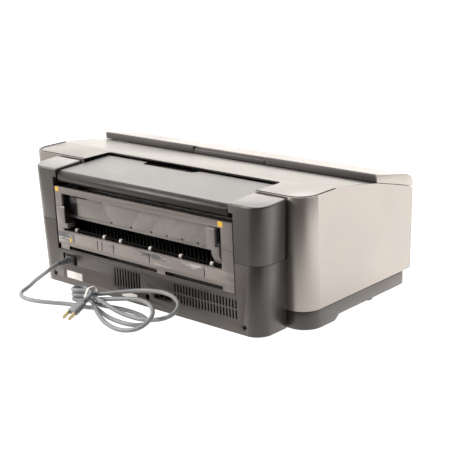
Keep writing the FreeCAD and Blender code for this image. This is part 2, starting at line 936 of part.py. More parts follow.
# Rear transport unit: frame with a window, plate, bar, ribbed guide, rollers and two latches.
unit_depth = sized("unit_depth")
window_low = sized("window_bottom")
window_high = sized("window_top")
window_x = (rear_x - sized("window_right"), rear_x + sized("window_left"))
face_reach = 0.6
face_plate = block("face_plate", (rear_x - unit_half, rear_x + unit_half), (face_reach, 4.6), (unit_bottom, unit_top))
cheeks = []
cheek = unit_half - 3
for side in (-1, 1):
    cheek_x = (rear_x - cheek, rear_x - cheek + wall) if side < 0 else (rear_x + cheek - wall, rear_x + cheek)
    cheeks.append(block("cheek", cheek_x, (4, unit_depth), (unit_bottom + 3, unit_top - 3)))
shelf = block("shelf", (rear_x - cheek, rear_x + cheek), (4, unit_depth), (unit_bottom + 9, unit_bottom + 11))
window = block("window", window_x, (0, 6), (window_low, window_high))
lower_slots = [
    block("lower_slot", (rear_x - 170, rear_x - 53), (0, 6), (unit_bottom + 1, unit_bottom + 7)),
    block("lower_slot", (rear_x - 35, rear_x + 167), (0, 6), (unit_bottom + 1, unit_bottom + 7)),
]
marks = []
for u in (-154, -97, -86.5, -60, 20, 134.5):
    marks.append(block("lip_groove", (rear_x - u - 0.8, rear_x - u + 0.8), (0, 1.8), (74.5, 89.5)))
marks.append(block("strip_seam", (rear_x - unit_half - 1, rear_x - 171), (0, 1.2), (123, 124)))
marks.append(block("foot_notch", (rear_x + unit_half - 5, rear_x + unit_half + 1), (0, 6), (unit_bottom - 1, 70)))
latch_pin = sized("latch_pin")
latch_reach = 10.0
roller_reach = sized("roller_reach")
roller_z = sized("roller_height")
latch_height = roller_z + sized("latch_rise")
marks.append(rod("latch_bore", latch_pin + play, (rear_x - unit_half, rear_x + unit_half), latch_reach, latch_height))
marks.append(rod("shaft_bore", 2 + play, (rear_x - unit_half, rear_x + unit_half), roller_reach, roller_z))
frame = fuse("unit_body", [cut("unit_face", face_plate, [window] + lower_slots)] + cheeks + [shelf])
keep(cut("transport_frame", frame, marks), "transport_frame")

inside = cheek - wall - fit
unit_span = (rear_x - inside, rear_x + inside)
plate_body = block("plate_body", unit_span, (11, 12.6), (119, unit_top - 4))
plate_cuts = []
for u in (-138, -93, -49, -4, 42, 86.5, 128):
    plate_cuts.append(block("plate_notch", (rear_x - u - 2.2, rear_x - u + 2.2), (10, 14), (150.5, 154)))
plate_cuts.append(block("plate_slit", (rear_x + 128, rear_x + 162), (10, 14), (149, 154.5)))
for u in (-72, -27, 17, 50, 82.5, 115):
    plate_cuts.append(block("plate_tooth", (rear_x - u - 2, rear_x - u + 2), (10, 14), (118, 121.5)))
keep(cut("transport_plate", plate_body, plate_cuts), "transport_plate")
keep(block("transport_bar", unit_span, (14.5, 19.5), (112.5, 117.5)), "transport_bar")
guide_line = [(34, 72.3), (37, 84), (37.5, 95), (35, 105), (30, 112), (23, 117), (21, 117)]
guide_back = [(21, 119.5), (24, 119.5), (32, 114), (37.5, 106), (40, 95), (39.5, 84), (37, 72.3)]
guide_sheet = side_prism("guide_sheet", guide_line + guide_back, unit_span)
rib_outline = [(34, 72.3), (37, 84), (37.5, 95), (35, 105), (30, 112), (23, 117), (21.5, 117), (21.5, 113)]
rib_outline += [(25, 108), (28, 101), (29, 93), (28, 84), (26, 76), (26, 72.3)]
ribs = []
rib_count = 44
for number in range(rib_count):
    middle = rear_x - inside + 5 + (inside * 2 - 10) * (number / (rib_count - 1.0))
    ribs.append(side_prism("rib", rib_outline, (middle - 0.7, middle + 0.7)))
keep(fuse("transport_guide", [guide_sheet] + ribs), "transport_guide")
shaft = rod("shaft", 2, (rear_x - cheek + 0.5, rear_x + cheek - 0.5), roller_reach, roller_z)
rollers = [shaft]
for u in (-156, -90, -52, 14, 79, 142):
    rollers.append(rod("roller", sized("roller_radius"), (rear_x - u - 4.5, rear_x - u + 4.5), roller_reach, roller_z))
keep(fuse("transport_rollers", rollers), "transport_rollers")
# Each latch is an arm on a pin at the foot of the window, with a finger plate flush with the rear face.
latch_out = sized("latch_out")
high_arm = [(7, -3.5), (13.5, -3.5), (13.5, 3.5), (8, 7), (3.5, 14), (3, 24), (-latch_out, 24), (-latch_out, 12), (2, 4)]
high_plate = [(-latch_out, 18), (-latch_out, 49), (0.5, 51.5), (5.5, 51.5), (5.5, 49.5), (2, 48), (2, 18)]
low_arm = [(7, -3.5), (13.5, -3.5), (13.5, 3.5), (-1, 4.5), (-latch_out, 3.5), (-latch_out, -3.5), (0.3, -4.5)]
low_plate = [(-latch_out, 3), (0.3, 2.5), (0.3, 32), (-0.6, 32), (-latch_out, 28)]
latch_parts = {
    "latch_left": ((high_arm, 167, 153), (high_plate, 160, 143.5)),
    "latch_right": ((low_arm, -165, -176), (low_plate, -170.5, -189)),
}
for side, (name, parts) in zip((-1, 1), latch_parts.items()):
    shapes = []
    for shape, first, last in parts:
        points = [(reach, latch_height + rise) for reach, rise in shape]
        shapes.append(side_prism(name + "_arm", points, (rear_x - first, rear_x - last)))
    near = rear_x - parts[0][1] if side < 0 else rear_x - parts[0][2]
    end = rear_x + (inside + 2) * side
    pin = (end, near + 1) if side < 0 else (near - 1, end)
    shapes.append(rod(name + "_pin", latch_pin, pin, latch_reach, latch_height))
    keep(fuse(name, shapes), name)

# Rear feed tray under the lid, with two edge guides.
tray_half = lid_half - 4
tray = side_prism(
    "tray",
    [
        (tray_reach, tray_top),
        (tray_end, tray_line(tray_end)),
        (tray_end, tray_line(tray_end) - wall),
        (tray_reach, tray_top - wall),
    ],
    (rear_x - tray_half, rear_x + tray_half),
)
keep(tray, "rear_feed_tray")
guide_spread = sized("guide_spread")
for side, name in ((-1, "edge_guide_left"), (1, "edge_guide_right")):
    x = rear_x + guide_spread * side
    fence = side_prism(
        name,
        [
            (40, tray_line(40) + fit),
            (104, tray_line(104) + fit),
            (104, tray_line(104) + 22),
            (60, tray_line(60) + 18),
            (40, tray_line(40) + 9),
        ],
        (x - 2, x + 2),
    )
    keep(fence, name)

# Sheet-metal frame: side frames with bearings, rail beam and carriage rail.
frame_half = sized("frame_span") / 2
frame_thick = sized("frame_thick")
feed_reach = sized("feed_reach")
feed_z = sized("feed_height")
feed_r = sized("feed_radius")
exit_reach = sized("exit_reach")
exit_z = feed_z - 3
floor_z = base_z + wall
frame_front = front_reach - 35
beam_top = deck - sized("beam_depth")
beam_reach = sized("beam_reach")
motor_reach = (feed_reach + exit_reach) / 2
motor_z = feed_z - sized("motor_drop")
for side, name in ((-1, "side_frame_left"), (1, "side_frame_right")):
    x = (-frame_half - frame_thick, -frame_half) if side < 0 else (frame_half, frame_half + frame_thick)
    flange_x = (-frame_half - 12, -frame_half) if side < 0 else (frame_half, frame_half + 12)
    upright = side_prism(
        name + "_upright",
        [
            (beam_reach - 18, floor_z + fit),
            (frame_front, floor_z + fit),
            (frame_front, beam_top - 58),
            (frame_front - 54, beam_top - 26),
            (beam_reach + 14, beam_top),
            (beam_reach - 4, beam_top),
            (beam_reach - 18, beam_top - 36),
        ],
        x,
    )
    flange = block(name + "_flange", flange_x, (beam_reach - 18, frame_front), (floor_z + fit, floor_z + fit + frame_thick))
    holes = [
        rod(name + "_feed", feed_r + play, (x[0] - 1, x[1] + 1), feed_reach, feed_z),
        rod(name + "_exit", 4 + play, (x[0] - 1, x[1] + 1), exit_reach, exit_z),
    ]
    if side > 0:
        holes.append(rod("motor_stem_way", 2 + play, (x[0] - 1, x[1] + 1), motor_reach, motor_z))
    keep(cut(name, fuse(name + "_body", [upright, flange]), holes), name)
rail_reach = sized("rail_reach")
rail_z = deck - sized("rail_depth")
rail_r = sized("rail_radius")
inner_span = (-frame_half + fit, frame_half - fit)
belt_z = rail_z + sized("belt_rise")
belt_r = sized("belt_radius")
pulley_x = frame_half - 12
beam_plate = block("beam_plate", inner_span, (beam_reach, beam_reach + 2), (beam_top - 64, beam_top))
beam_lip = block("beam_lip", inner_span, (beam_reach - 6, beam_reach + 1), (beam_top - 2, beam_top))
idler_pin = peg("idler_pin", 2, -pulley_x, (beam_reach + 1, beam_reach + 11.5), belt_z)
motor_way = peg("motor_way", 3, pulley_x, (beam_reach - 6, beam_reach + 4), belt_z)
keep(cut("rail_frame", fuse("rail_body", [beam_plate, beam_lip, idler_pin]), [motor_way]), "rail_frame")
keep(rod("carriage_rail", rail_r, inner_span, rail_reach, rail_z), "carriage_rail")

# Carriage with print head and ink tanks.
car_half = sized("carriage_width") / 2
car_x = (-car_half, car_half)
car_floor = sized("carriage_floor")
car_front = sized("carriage_front")
car_wall = sized("carriage_wall")
car_back = block("car_back", car_x, (rail_reach - 8, rail_reach + 10), (rail_z - 10, rail_z + 13))
car_cup = block("car_cup", car_x, (rail_reach + 10, car_front), (car_floor, rail_z + 16))
car_clamp = block("car_clamp", (-6, 6), (beam_reach + 5.5, rail_reach + 5), (belt_z - 2.5, belt_z + 2.5))
car_riser = block("car_riser", (-6, 6), (rail_reach - 0.5, rail_reach + 5), (rail_z + 12, belt_z + 2.5))
car_well = block(
    "car_well",
    (-car_half + car_wall, car_half - car_wall),
    (rail_reach + 10 + car_wall, car_front - car_wall),
    (car_floor + car_wall, rail_z + 20),
)
car_bore = rod("car_bore", rail_r + play, (-car_half - 1, car_half + 1), rail_reach, rail_z)
keep(cut("carriage", fuse("car_body", [car_back, car_cup, car_clamp, car_riser]), [car_well, car_bore]), "carriage")
keep(block("print_head", (-car_half + 12, car_half - 12), (car_front - 48, car_front - 10), (feed_z + 6, car_floor - fit)), "print_head")
tank_count = int(val(sized("tank_count")))
tank_pitch = (sized("carriage_width") - 2 * car_wall - 1) / tank_count
tanks = []
for number in range(tank_count):
    low = -car_half + car_wall + 0.5 + tank_pitch * number
    body = block(
        "tank_body",
        (low + fit, low + tank_pitch - fit),
        (rail_reach + 10.5 + car_wall, car_front - car_wall - 0.5),
        (car_floor + car_wall + fit, rail_z + 18),
    )
    latch = block("tank_tab", (low + 5, low + tank_pitch - 5), (car_front - 22, car_front - 10), (rail_z + 17, rail_z + 21))
    tanks.append(fuse("tank", [body, latch]))
keep(group("ink_tanks", tanks), "ink_tanks")


def belt(name, circles, thick, width, plane, start):
    """A belt round pulleys in a plane: an offset band of tangent runs and arcs."""

    def loop(extra):
        edges = []
        count = len(circles)
        touches = []
        for index in range(count):
            ax, ay, ar = circles[index]
            bx, by, br = circles[(index + 1) % count]
            run = math.hypot(bx - ax, by - ay)
            turn = math.atan2(by - ay, bx - ax) - math.pi / 2 + math.asin((ar - br) / run)
            out = FreeCAD.Vector(math.cos(turn), math.sin(turn), 0)
            first = FreeCAD.Vector(ax, ay, 0) + out * (ar + extra)
            second = FreeCAD.Vector(bx, by, 0) + out * (br + extra)
            touches.append((first, second, turn))
        for index in range(count):
            first, second, turn = touches[index]
            edges.append(Part.makeLine(first, second))
            bx, by, br = circles[(index + 1) % count]
            following = touches[(index + 1) % count]
            swing = (following[2] - turn) % (2 * math.pi)
            middle = turn + swing / 2
            bulge = FreeCAD.Vector(bx, by, 0) + FreeCAD.Vector(math.cos(middle), math.sin(middle), 0) * (br + extra)
            edges.append(Part.Arc(second, bulge, following[0]).toShape())
        return Part.Wire(edges)

    forward = FreeCAD.Vector(0, 0, width)
    item = document.addObject("Part::Feature", name)
    item.Shape = Part.Face(loop(0.15 + thick)).extrude(forward).cut(Part.Face(loop(0.15)).extrude(forward))
    item.Placement = FreeCAD.Placement(start, plane)
    return item


upright_plane = FreeCAD.Rotation(FreeCAD.Vector(1, 0, 0), FreeCAD.Vector(0, 0, 1), FreeCAD.Vector(0, -1, 0), "XYZ")
side_plane = FreeCAD.Rotation(FreeCAD.Vector(0, 1, 0), FreeCAD.Vector(0, 0, 1), FreeCAD.Vector(1, 0, 0), "XYZ")
belt_thick = val(sized("belt_thick"))
carriage_belt = belt(
    "carriage_belt",
    [(-val(pulley_x), val(belt_z), val(belt_r)), (val(pulley_x), val(belt_z), val(belt_r))],
    belt_thick,
    6.0,
    upright_plane,
    FreeCAD.Vector(0, val(half_depth) - val(beam_reach) - 5, 0),
)
keep(carriage_belt, "carriage_belt")
idler_wheel = peg("idler_wheel", belt_r, -pulley_x, (beam_reach + 4.5, beam_reach + 11.5), belt_z)
idler_bore = peg("idler_bore", 2 + play, -pulley_x, (beam_reach + 3, beam_reach + 13), belt_z)
idler_mark = block("idler_mark", (-pulley_x - 4, -pulley_x - 3), (beam_reach + 11, beam_reach + 12), (belt_z - 0.5, belt_z + 0.5))
keep(cut("idler_pulley", idler_wheel, [idler_bore, idler_mark]), "idler_pulley")
drive_wheel = peg("drive_wheel", belt_r, pulley_x, (beam_reach + 4.5, beam_reach + 11.5), belt_z)
drive_stem = peg("drive_stem", 2, pulley_x, (beam_reach - 3, beam_reach + 5), belt_z)
drive_mark = block("drive_mark", (pulley_x + 3, pulley_x + 4), (beam_reach + 11, beam_reach + 12), (belt_z - 0.5, belt_z + 0.5))
keep(cut("drive_pulley", fuse("drive_body", [drive_wheel, drive_stem]), [drive_mark]), "drive_pulley")
motor_can = peg("motor_can", 12, pulley_x - 3, (beam_reach - 32, beam_reach - fit), belt_z - 3)
motor_hole = peg("motor_hole", 2 + play, pulley_x, (beam_reach - 6, beam_reach + 1), belt_z)
keep(cut("carriage_motor", motor_can, [motor_hole]), "carriage_motor")

# Feed roller, exit roller and pinch rollers, driven by one belt outside the right side frame.
belt_x = frame_half + frame_thick + 3
pulley_r = sized("pulley_radius")
feed_shaft = rod("feed_shaft", feed_r, (-frame_half - frame_thick - 2, belt_x + 9), feed_reach, feed_z)
feed_sleeve = rod("feed_sleeve", feed_r + 1, (-frame_half + 40, frame_half - 40), feed_reach, feed_z)
feed_wheel = rod("feed_wheel", pulley_r, (belt_x, belt_x + 8), feed_reach, feed_z)
feed_notch = block("feed_notch", (belt_x + 7, belt_x + 10), (feed_reach - 2, feed_reach + 2), (feed_z + 8, feed_z + 11))
keep(cut("feed_roller", fuse("feed_body", [feed_shaft, feed_sleeve, feed_wheel]), [feed_notch]), "feed_roller")
exit_parts = [rod("exit_shaft", 4, (-frame_half - frame_thick - 2, belt_x + 9), exit_reach, exit_z)]
exit_parts.append(rod("exit_wheel", pulley_r, (belt_x, belt_x + 8), exit_reach, exit_z))
for number in range(8):
    x = -175 + 50 * number
    exit_parts.append(rod("exit_ring", 7, (x - 6, x + 6), exit_reach, exit_z))
exit_notch = block("exit_notch", (belt_x + 7, belt_x + 10), (exit_reach - 2, exit_reach + 2), (exit_z + 8, exit_z + 11))
keep(cut("exit_roller", fuse("exit_body", exit_parts), [exit_notch]), "exit_roller")
wheel_r = belt_r + 0.5
feed_stem = rod("feed_stem", 2, (frame_half - 6, belt_x + 1), motor_reach, motor_z)
feed_cog = rod("feed_cog", wheel_r, (belt_x, belt_x + 8), motor_reach, motor_z)
cog_notch = block("cog_notch", (belt_x + 7, belt_x + 10), (motor_reach - 1, motor_reach + 1), (motor_z + 3, motor_z + 4.5))
keep(cut("feed_motor_pulley", fuse("cog_body", [feed_stem, feed_cog]), [cog_notch]), "feed_motor_pulley")
feed_can = rod("feed_can", 16, (frame_half - 44, frame_half - fit), motor_reach, motor_z)
can_hole = rod("can_hole", 2 + play, (frame_half - 8, frame_half + 1), motor_reach, motor_z)
keep(cut("feed_motor", feed_can, [can_hole]), "feed_motor")
feed_belt = belt(
    "feed_belt",
    [
        (val(half_depth - exit_reach), val(exit_z), val(pulley_r)),
        (val(half_depth - motor_reach), val(motor_z), val(wheel_r)),
        (val(half_depth - feed_reach), val(feed_z), val(pulley_r)),
    ],
    belt_thick,
    6.0,
    side_plane,
    FreeCAD.Vector(val(belt_x) + 1, 0, 0),
)
keep(feed_belt, "feed_belt")
pinch_r = 4.0
pinch_z = feed_z + feed_r + 1 + pinch_r + fit
pinch_end = frame_half - 42
pinch_parts = [rod("pinch_shaft", 1.5, (-pinch_end, pinch_end), feed_reach, pinch_z)]
for number in range(7):
    x = -165 + 55 * number
    pinch_parts.append(rod("pinch_wheel", pinch_r, (x - 9, x + 9), feed_reach, pinch_z))
keep(fuse("pinch_rollers", pinch_parts), "pinch_rollers")
roof_z = pinch_z + pinch_r + 1.5
holder_parts = [
    block("holder_roof", (-pinch_end - 2, pinch_end + 2), (beam_reach + 2 + fit, feed_reach + 6), (roof_z, roof_z + 3)),
    block("holder_back", (-pinch_end - 2, pinch_end + 2), (beam_reach + 2 + fit, beam_reach + 5), (roof_z, roof_z + 22)),
]
for side in (-1, 1):
    lug_x = (-pinch_end - 2, -pinch_end + 2) if side < 0 else (pinch_end - 2, pinch_end + 2)
    holder_parts.append(block("holder_lug", lug_x, (feed_reach - 4, feed_reach + 4), (pinch_z - 3.2, roof_z + 1)))
pinch_bore = rod("pinch_bore", 1.5 + play, (-pinch_end - 0.5, pinch_end + 0.5), feed_reach, pinch_z)
keep(cut("pinch_holder", fuse("holder_body", holder_parts), [pinch_bore]), "pinch_holder")

# Platen, purge unit and waste pad.
platen_right = 140.0
platen_body = block("platen_body", (-frame_half + fit, platen_right), (feed_reach + 11, exit_reach - 9), (feed_z - 12, feed_z + 1))
platen_trough = block("platen_trough", (-frame_half + 30, platen_right - 20), (198, 222), (feed_z - 3, feed_z + 2))
keep(cut("platen", platen_body, [platen_trough]), "platen")
purge_body = block("purge_body", (platen_right + 4, frame_half - fit), (feed_reach + 14, exit_reach - 11), (70, feed_z + 2))
purge_cup = block("purge_cup", (platen_right + 20, platen_right + 70), (194, 224), (feed_z - 5, feed_z + 3))
keep(cut("purge_unit", purge_body, [purge_cup]), "purge_unit")
keep(block("waste_pad", (-180, 180), (base_rear + wall + 2, 104), (floor_z + fit, 40)), "waste_pad")

# Paper cassette: open tray with a front panel.
cassette_back = sized("cassette_back")
cassette_front = front_reach - 5
cassette_body = block(
    "cassette_body",
    (-cassette_half, cassette_half),
    (cassette_back, cassette_front),
    (cassette_floor, cassette_top),
)
cassette_face = block(
    "cassette_face",
    (-cassette_half - 15, cassette_half + 15),
    (cassette_front - 7, cassette_front),
    (cassette_floor, cassette_top + 1),
)
cassette_well = block(
    "cassette_well",
    (-cassette_half + 2.5, cassette_half - 2.5),
    (cassette_back + 2.5, cassette_front - 7),
    (cassette_floor + 2.5, cassette_top + 5),
)
cassette_grip = block("cassette_grip", (-55, 55), (cassette_front - 3, cassette_front + 1), (cassette_floor - 1, cassette_floor + 12))
keep(cut("cassette", fuse("cassette_whole", [cassette_body, cassette_face]), [cassette_well, cassette_grip]), "cassette")

# Power supply, mains inlet, main board and port sockets.
inlet_deep = 16.7
keep(
    block(
        "power_supply",
        (inlet_x - 72, inlet_x + 51),
        (inlet_deep + fit, rear_reach - 1),
        (rear_floor + wall + fit, unit_bottom - 4),
    ),
    "power_supply",
)
nose_half = 10.9
nose_rise = 6.4
inlet_body = block(
    "inlet_body",
    (inlet_x - inlet_half + fit, inlet_x + inlet_half - fit),
    (2.5, inlet_deep),
    (inlet_z - inlet_rise + fit, inlet_z + inlet_rise - fit),
)
inlet_well = block(
    "inlet_well",
    (inlet_x - nose_half - fit, inlet_x + nose_half + fit),
    (2, 12),
    (inlet_z - nose_rise - fit, inlet_z + nose_rise + fit),
)
keep(cut("mains_inlet", inlet_body, [inlet_well]), "mains_inlet")
keep(block("main_board", (rear_x - 192, rear_x + 15), (board_reach, board_reach + 1.6), (8, unit_bottom - 4)), "main_board")
sockets = []
for low, high in ((-62, -48), (-45, -33)):
    shell = block("socket_shell", (rear_x + low, rear_x + high), (wall + 0.4, board_reach - fit), (20.6, 31.4))
    well = block("socket_well", (rear_x + low + 1.2, rear_x + high - 1.2), (wall, 9.5), (21.8, 30.2))
    sockets.append(cut("socket", shell, [well]))
keep(group("port_sockets", sockets), "port_sockets")

# Mains lead: connector with ringed strain relief, free stretch, tied hank and plug.
cord = sized("cord_diameter")
cord_r = val(cord) / 2
lead_start = -26.0
connector_parts = [
    block("nose", (inlet_x - nose_half, inlet_x + nose_half), (0, 11.5), (inlet_z - nose_rise, inlet_z + nose_rise)),
    block("grip", (inlet_x - 10, inlet_x + 10), (-1.5, 2.2), (inlet_z - 6.5, inlet_z + 6.5)),
    peg("relief_core", cord / 2 + 0.6, inlet_x, (lead_start, -1), inlet_z),
]
for number in range(5):
    start = -1 - 4.6 * number
    radius = cord / 2 + 3.4 - 0.55 * number
    connector_parts.append(peg("relief_ring", radius, inlet_x, (start - 3.5, start), inlet_z))
keep(fuse("mains_connector", connector_parts), "mains_connector")


def spot(u, reach, z):
    """A point from its offset to the left of the rear housing's middle, its reach and its height."""
    return FreeCAD.Vector(val(rear_x) - u, val(half_depth) - reach, z)


def sweep(name, wire):
    """A round tube along a wire, checked against its section times its length."""
    edge = wire.OrderedEdges[0]
    begin = edge.valueAt(edge.FirstParameter)
    along = edge.tangentAt(edge.FirstParameter)
    if (begin - wire.OrderedVertexes[0].Point).Length > 1e-6:
        begin = edge.valueAt(edge.LastParameter)
        along = edge.tangentAt(edge.LastParameter) * -1
    ring = Part.Wire([Part.makeCircle(cord_r, begin, along)])
    shell = Part.BRepOffsetAPI.MakePipeShell(wire)
    shell.add(ring)
    shell.build()
    shell.makeSolid()
    item = document.addObject("Part::Feature", name)
    item.Shape = shell.shape()
    full = wire.Length * math.pi * cord_r**2
    print(name, "length", round(wire.Length, 1), "volume share", round(item.Shape.Volume / full, 4))
    return item


def bent_runs(points):
    """Straight runs joined by tangent arcs, each as large as its runs allow."""
    edges = []
    radii = []
    last = points[0]
    for before, here, after in zip(points, points[1:], points[2:]):
        inward = (here - before).normalize()
        onward = (after - here).normalize()
        turn = inward.getAngle(onward)
        reach = 0.45 * min((here - before).Length, (after - here).Length)
        radii.append(round(reach / math.tan(turn / 2), 1))
        first = here - inward * reach
        second = here + onward * reach
        chord = (first + second) * 0.5
        sag = (second - first).Length / 2 * math.tan(turn / 4)
        middle = chord + (here - chord).normalize() * sag
        edges.append(Part.makeLine(last, first))
        edges.append(Part.Arc(first, middle, second).toShape())
        last = second
    edges.append(Part.makeLine(last, points[-1]))
    print("radii", radii)
    return Part.Wire(edges)


def arc_to(first, control, second):
    """The arc between two points that touches the lines to a control point."""
    chord = (first + second) * 0.5
    rise = (control - chord).Length
    if rise < 1e-4:
        return Part.makeLine(first, second)
    half = (second - first).Length / 2
    sag = half * math.tan(math.atan2(rise, half) / 2)
    return Part.Arc(first, chord + (control - chord).normalize() * sag, second).toShape()


def biarc_wire(points, first_way, last_way):
    """Pairs of tangent arcs through points."""
    ways = [first_way.normalize()]
    for before, after in zip(points, points[2:]):
        ways.append((after - before).normalize())
    ways.append(last_way.normalize())
    edges = []
    for (p0, t0), (p1, t1) in zip(zip(points, ways), zip(points[1:], ways[1:])):
        way = p1 - p0
        both = t0 + t1
        share = 2 * (1 - t0.dot(t1))
        if share < 1e-9:
            reach = way.dot(way) / (4 * way.dot(t1))
        else:
            lean_on = way.dot(both)
            reach = (math.sqrt(lean_on**2 + share * way.dot(way)) - lean_on) / share
        q0 = p0 + t0 * reach
        q1 = p1 - t1 * reach
        middle = (q0 + q1) * 0.5
        edges.append(arc_to(p0, q0, middle))
        edges.append(arc_to(middle, q1, p1))
    return Part.Wire(edges)


# Waist of the hank: strands in two columns, one layer per turn, and the incoming strand beside them.
WAIST = (-62.0, -48.0)
layer = val(cord) + 1.2
first_layer = cord_r + 1.6
side_column = -16.5
# Each lobe: direction in degrees, length, half width, tilt in degrees, rise at its far end.
LOBES = ((-5.0, 130.0, 19.0, 3.0, 0.0), (-11.0, 158.0, 34.0, 30.0, 6.5), (5.0, 172.0, 32.0, 31.0, 7.0))
LOBE_SIDE = ((0.12, 0.30), (0.30, 0.68), (0.52, 0.97), (0.76, 0.95), (0.94, 0.58))
LOBE_SHAPE = LOBE_SIDE + ((1.0, 0.0),) + tuple((share, -across) for share, across in reversed(LOBE_SIDE))
BACK_SIDE = ((-11.0, 6.6), (-21.5, 11.2), (-31.8, 11.5), (-38.5, 4.8))
BACK_SHAPE = BACK_SIDE + tuple((back, -across) for back, across in reversed(BACK_SIDE))
hank_points = []
for turn, (swing, length, half, tilt, rise) in enumerate(LOBES):
    low = first_layer + layer * turn
    heading = math.radians(swing)
    lean_angle = math.radians(tilt)
    start = side_column if turn == 0 else -layer / 2
    hank_points.append(spot(WAIST[0], WAIST[1] + start, low))
    for share, across in LOBE_SHAPE:
        across = -across * half
        flat = across * math.cos(lean_angle)
        u = WAIST[0] + share * length * math.cos(heading) - flat * math.sin(heading)
        reach = WAIST[1] + share * length * math.sin(heading) + flat * math.cos(heading)
        hank_points.append(spot(u, reach, low + rise * share**0.7 + across * math.sin(lean_angle) * share**0.5))
    hank_points.append(spot(WAIST[0], WAIST[1] + layer / 2, low))
    for count, (back, across) in enumerate(BACK_SHAPE, start=1):
        climb = low + layer * count / (len(BACK_SHAPE) + 1)
        hank_points.append(spot(WAIST[0] + back, WAIST[1] + across, climb))
top_layer = first_layer + layer * len(LOBES)
hank_points.append(spot(WAIST[0], WAIST[1] - layer / 2, top_layer))
hank_points.append(spot(WAIST[0] + 7, WAIST[1] - 7.3, top_layer - 0.6))
hank_points.append(spot(WAIST[0] + 10.8, WAIST[1] - 13.2, top_layer - 2.6))
plug_way = FreeCAD.Vector(0, 0.925, -0.38)
plug_start = spot(WAIST[0] + 11.5, WAIST[1] - 20, top_layer - 5.6)
hank_points.append(plug_start)

route = [
    spot(-167, lead_start, val(inlet_z)),
    spot(-167, -36, 43.2),
    spot(-171, -44.5, 37.2),
    spot(-182.5, -49.5, 28),
    spot(-195.5, -53, 18.3),
    spot(-203.5, -58, 9.4),
    spot(-207, -66.5, 4.4),
    spot(-203.5, -76.5, 3.6),
    spot(-195, -84.5, 3.5),
    spot(-183, -90, 3.5),
    spot(-167, -91.5, 3.5),
    spot(-146, -87.5, 3.5),
    spot(-119, -76.5, 3.6),
    spot(-92, -66.5, 4.2),
    hank_points[0],
]
route[0].x = val(inlet_x)
route[1].x = val(inlet_x)
keep(sweep("power_cord", bent_runs(route)), "power_cord")
hank_wire = biarc_wire(hank_points, route[-1] - route[-2], plug_way)
keep(sweep("cord_hank", hank_wire), "cord_hank")
marks_along = hank_wire.discretize(Distance=2.0)
step = hank_wire.Length / (len(marks_along) - 1)
skip = int(4 * val(cord) / step)
least = 1e9
for index, here in enumerate(marks_along):
    for other in marks_along[index + skip:]:
        distance = here.distanceToPoint(other)
        if distance < least:
            least = distance
            near_pair = (index, here, other)
print("hank least gap", round(least - val(cord), 2), near_pair)

tie_x = val(rear_x) - WAIST[0]
tie_inner = [
    (WAIST[1] + side_column - cord_r - 0.5, first_layer - cord_r - 0.5),
    (WAIST[1] + layer / 2 + cord_r + 0.5, first_layer - cord_r - 0.5),
    (WAIST[1] + layer / 2 + cord_r + 0.5, top_layer + cord_r + 0.5),
    (WAIST[1] - layer / 2 - cord_r - 0.5, top_layer + cord_r + 0.5),
    (WAIST[1] + side_column - cord_r - 0.5, first_layer + cord_r + 2.5),
]
tie_outer = [
    (tie_inner[0][0] - 0.8, tie_inner[0][1] - 0.8),
    (tie_inner[1][0] + 0.8, tie_inner[1][1] - 0.8),
    (tie_inner[2][0] + 0.8, tie_inner[2][1] + 0.8),
    (tie_inner[3][0] - 0.6, tie_inner[3][1] + 0.8),
    (tie_inner[4][0] - 0.8, tie_inner[4][1] + 0.6),
]
tie_ring = cut(
    "tie_ring",
    side_prism("tie_outer", tie_outer, (tie_x - 2.5, tie_x + 2.5)),
    [side_prism("tie_inner", tie_inner, (tie_x - 4, tie_x + 4))],
)
tie_tail = block("tie_tail", (tie_x - 2, tie_x + 2), (tie_outer[0][0] - 12, tie_outer[0][0] + 0.4), (6.0, 7.0))
keep(fuse("cord_tie", [tie_ring, tie_tail]), "cord_tie")

plug_parts = [
    peg("plug_neck", cord / 2 + 1.2, 0, (-11, 0), 0),
    block("plug_body", (-9, 9), (-34, -10), (-5, 5)),
]
for offset in (-6.35, 6.35):
    plug_parts.append(block("plug_blade", (offset - 0.75, offset + 0.75), (-49, -33), (-3.15, 3.15)))
plug = fuse("plug", plug_parts)
document.recompute()
turn_plug = FreeCAD.Rotation(FreeCAD.Vector(0, 1, 0), plug_way)
plug.Placement = FreeCAD.Placement(
    plug_start - turn_plug.multVec(FreeCAD.Vector(0, val(half_depth), 0)), turn_plug
)
keep(plug, "mains_plug")

document.recompute()
for item in document.Objects:
    if "Invalid" in item.State or "Error" in item.State:
        raise RuntimeError(f"{item.Label} failed: {item.State}")
for item in nodes:
    if item.Shape.isNull() or not item.Shape.isValid() or not item.Shape.Solids:
        raise RuntimeError(f"{item.Label} has no valid solid")
os.makedirs("parts", exist_ok=True)
for item in nodes:
    item.Shape.exportStep(f"parts/{item.Label}.step")
print(len(nodes), "pieces")
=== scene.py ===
import json
import math

import bmesh
import bpy
from bpy.props import FloatProperty, FloatVectorProperty, IntProperty, PointerProperty
from mathutils import Matrix, Vector
from mathutils.bvhtree import BVHTree


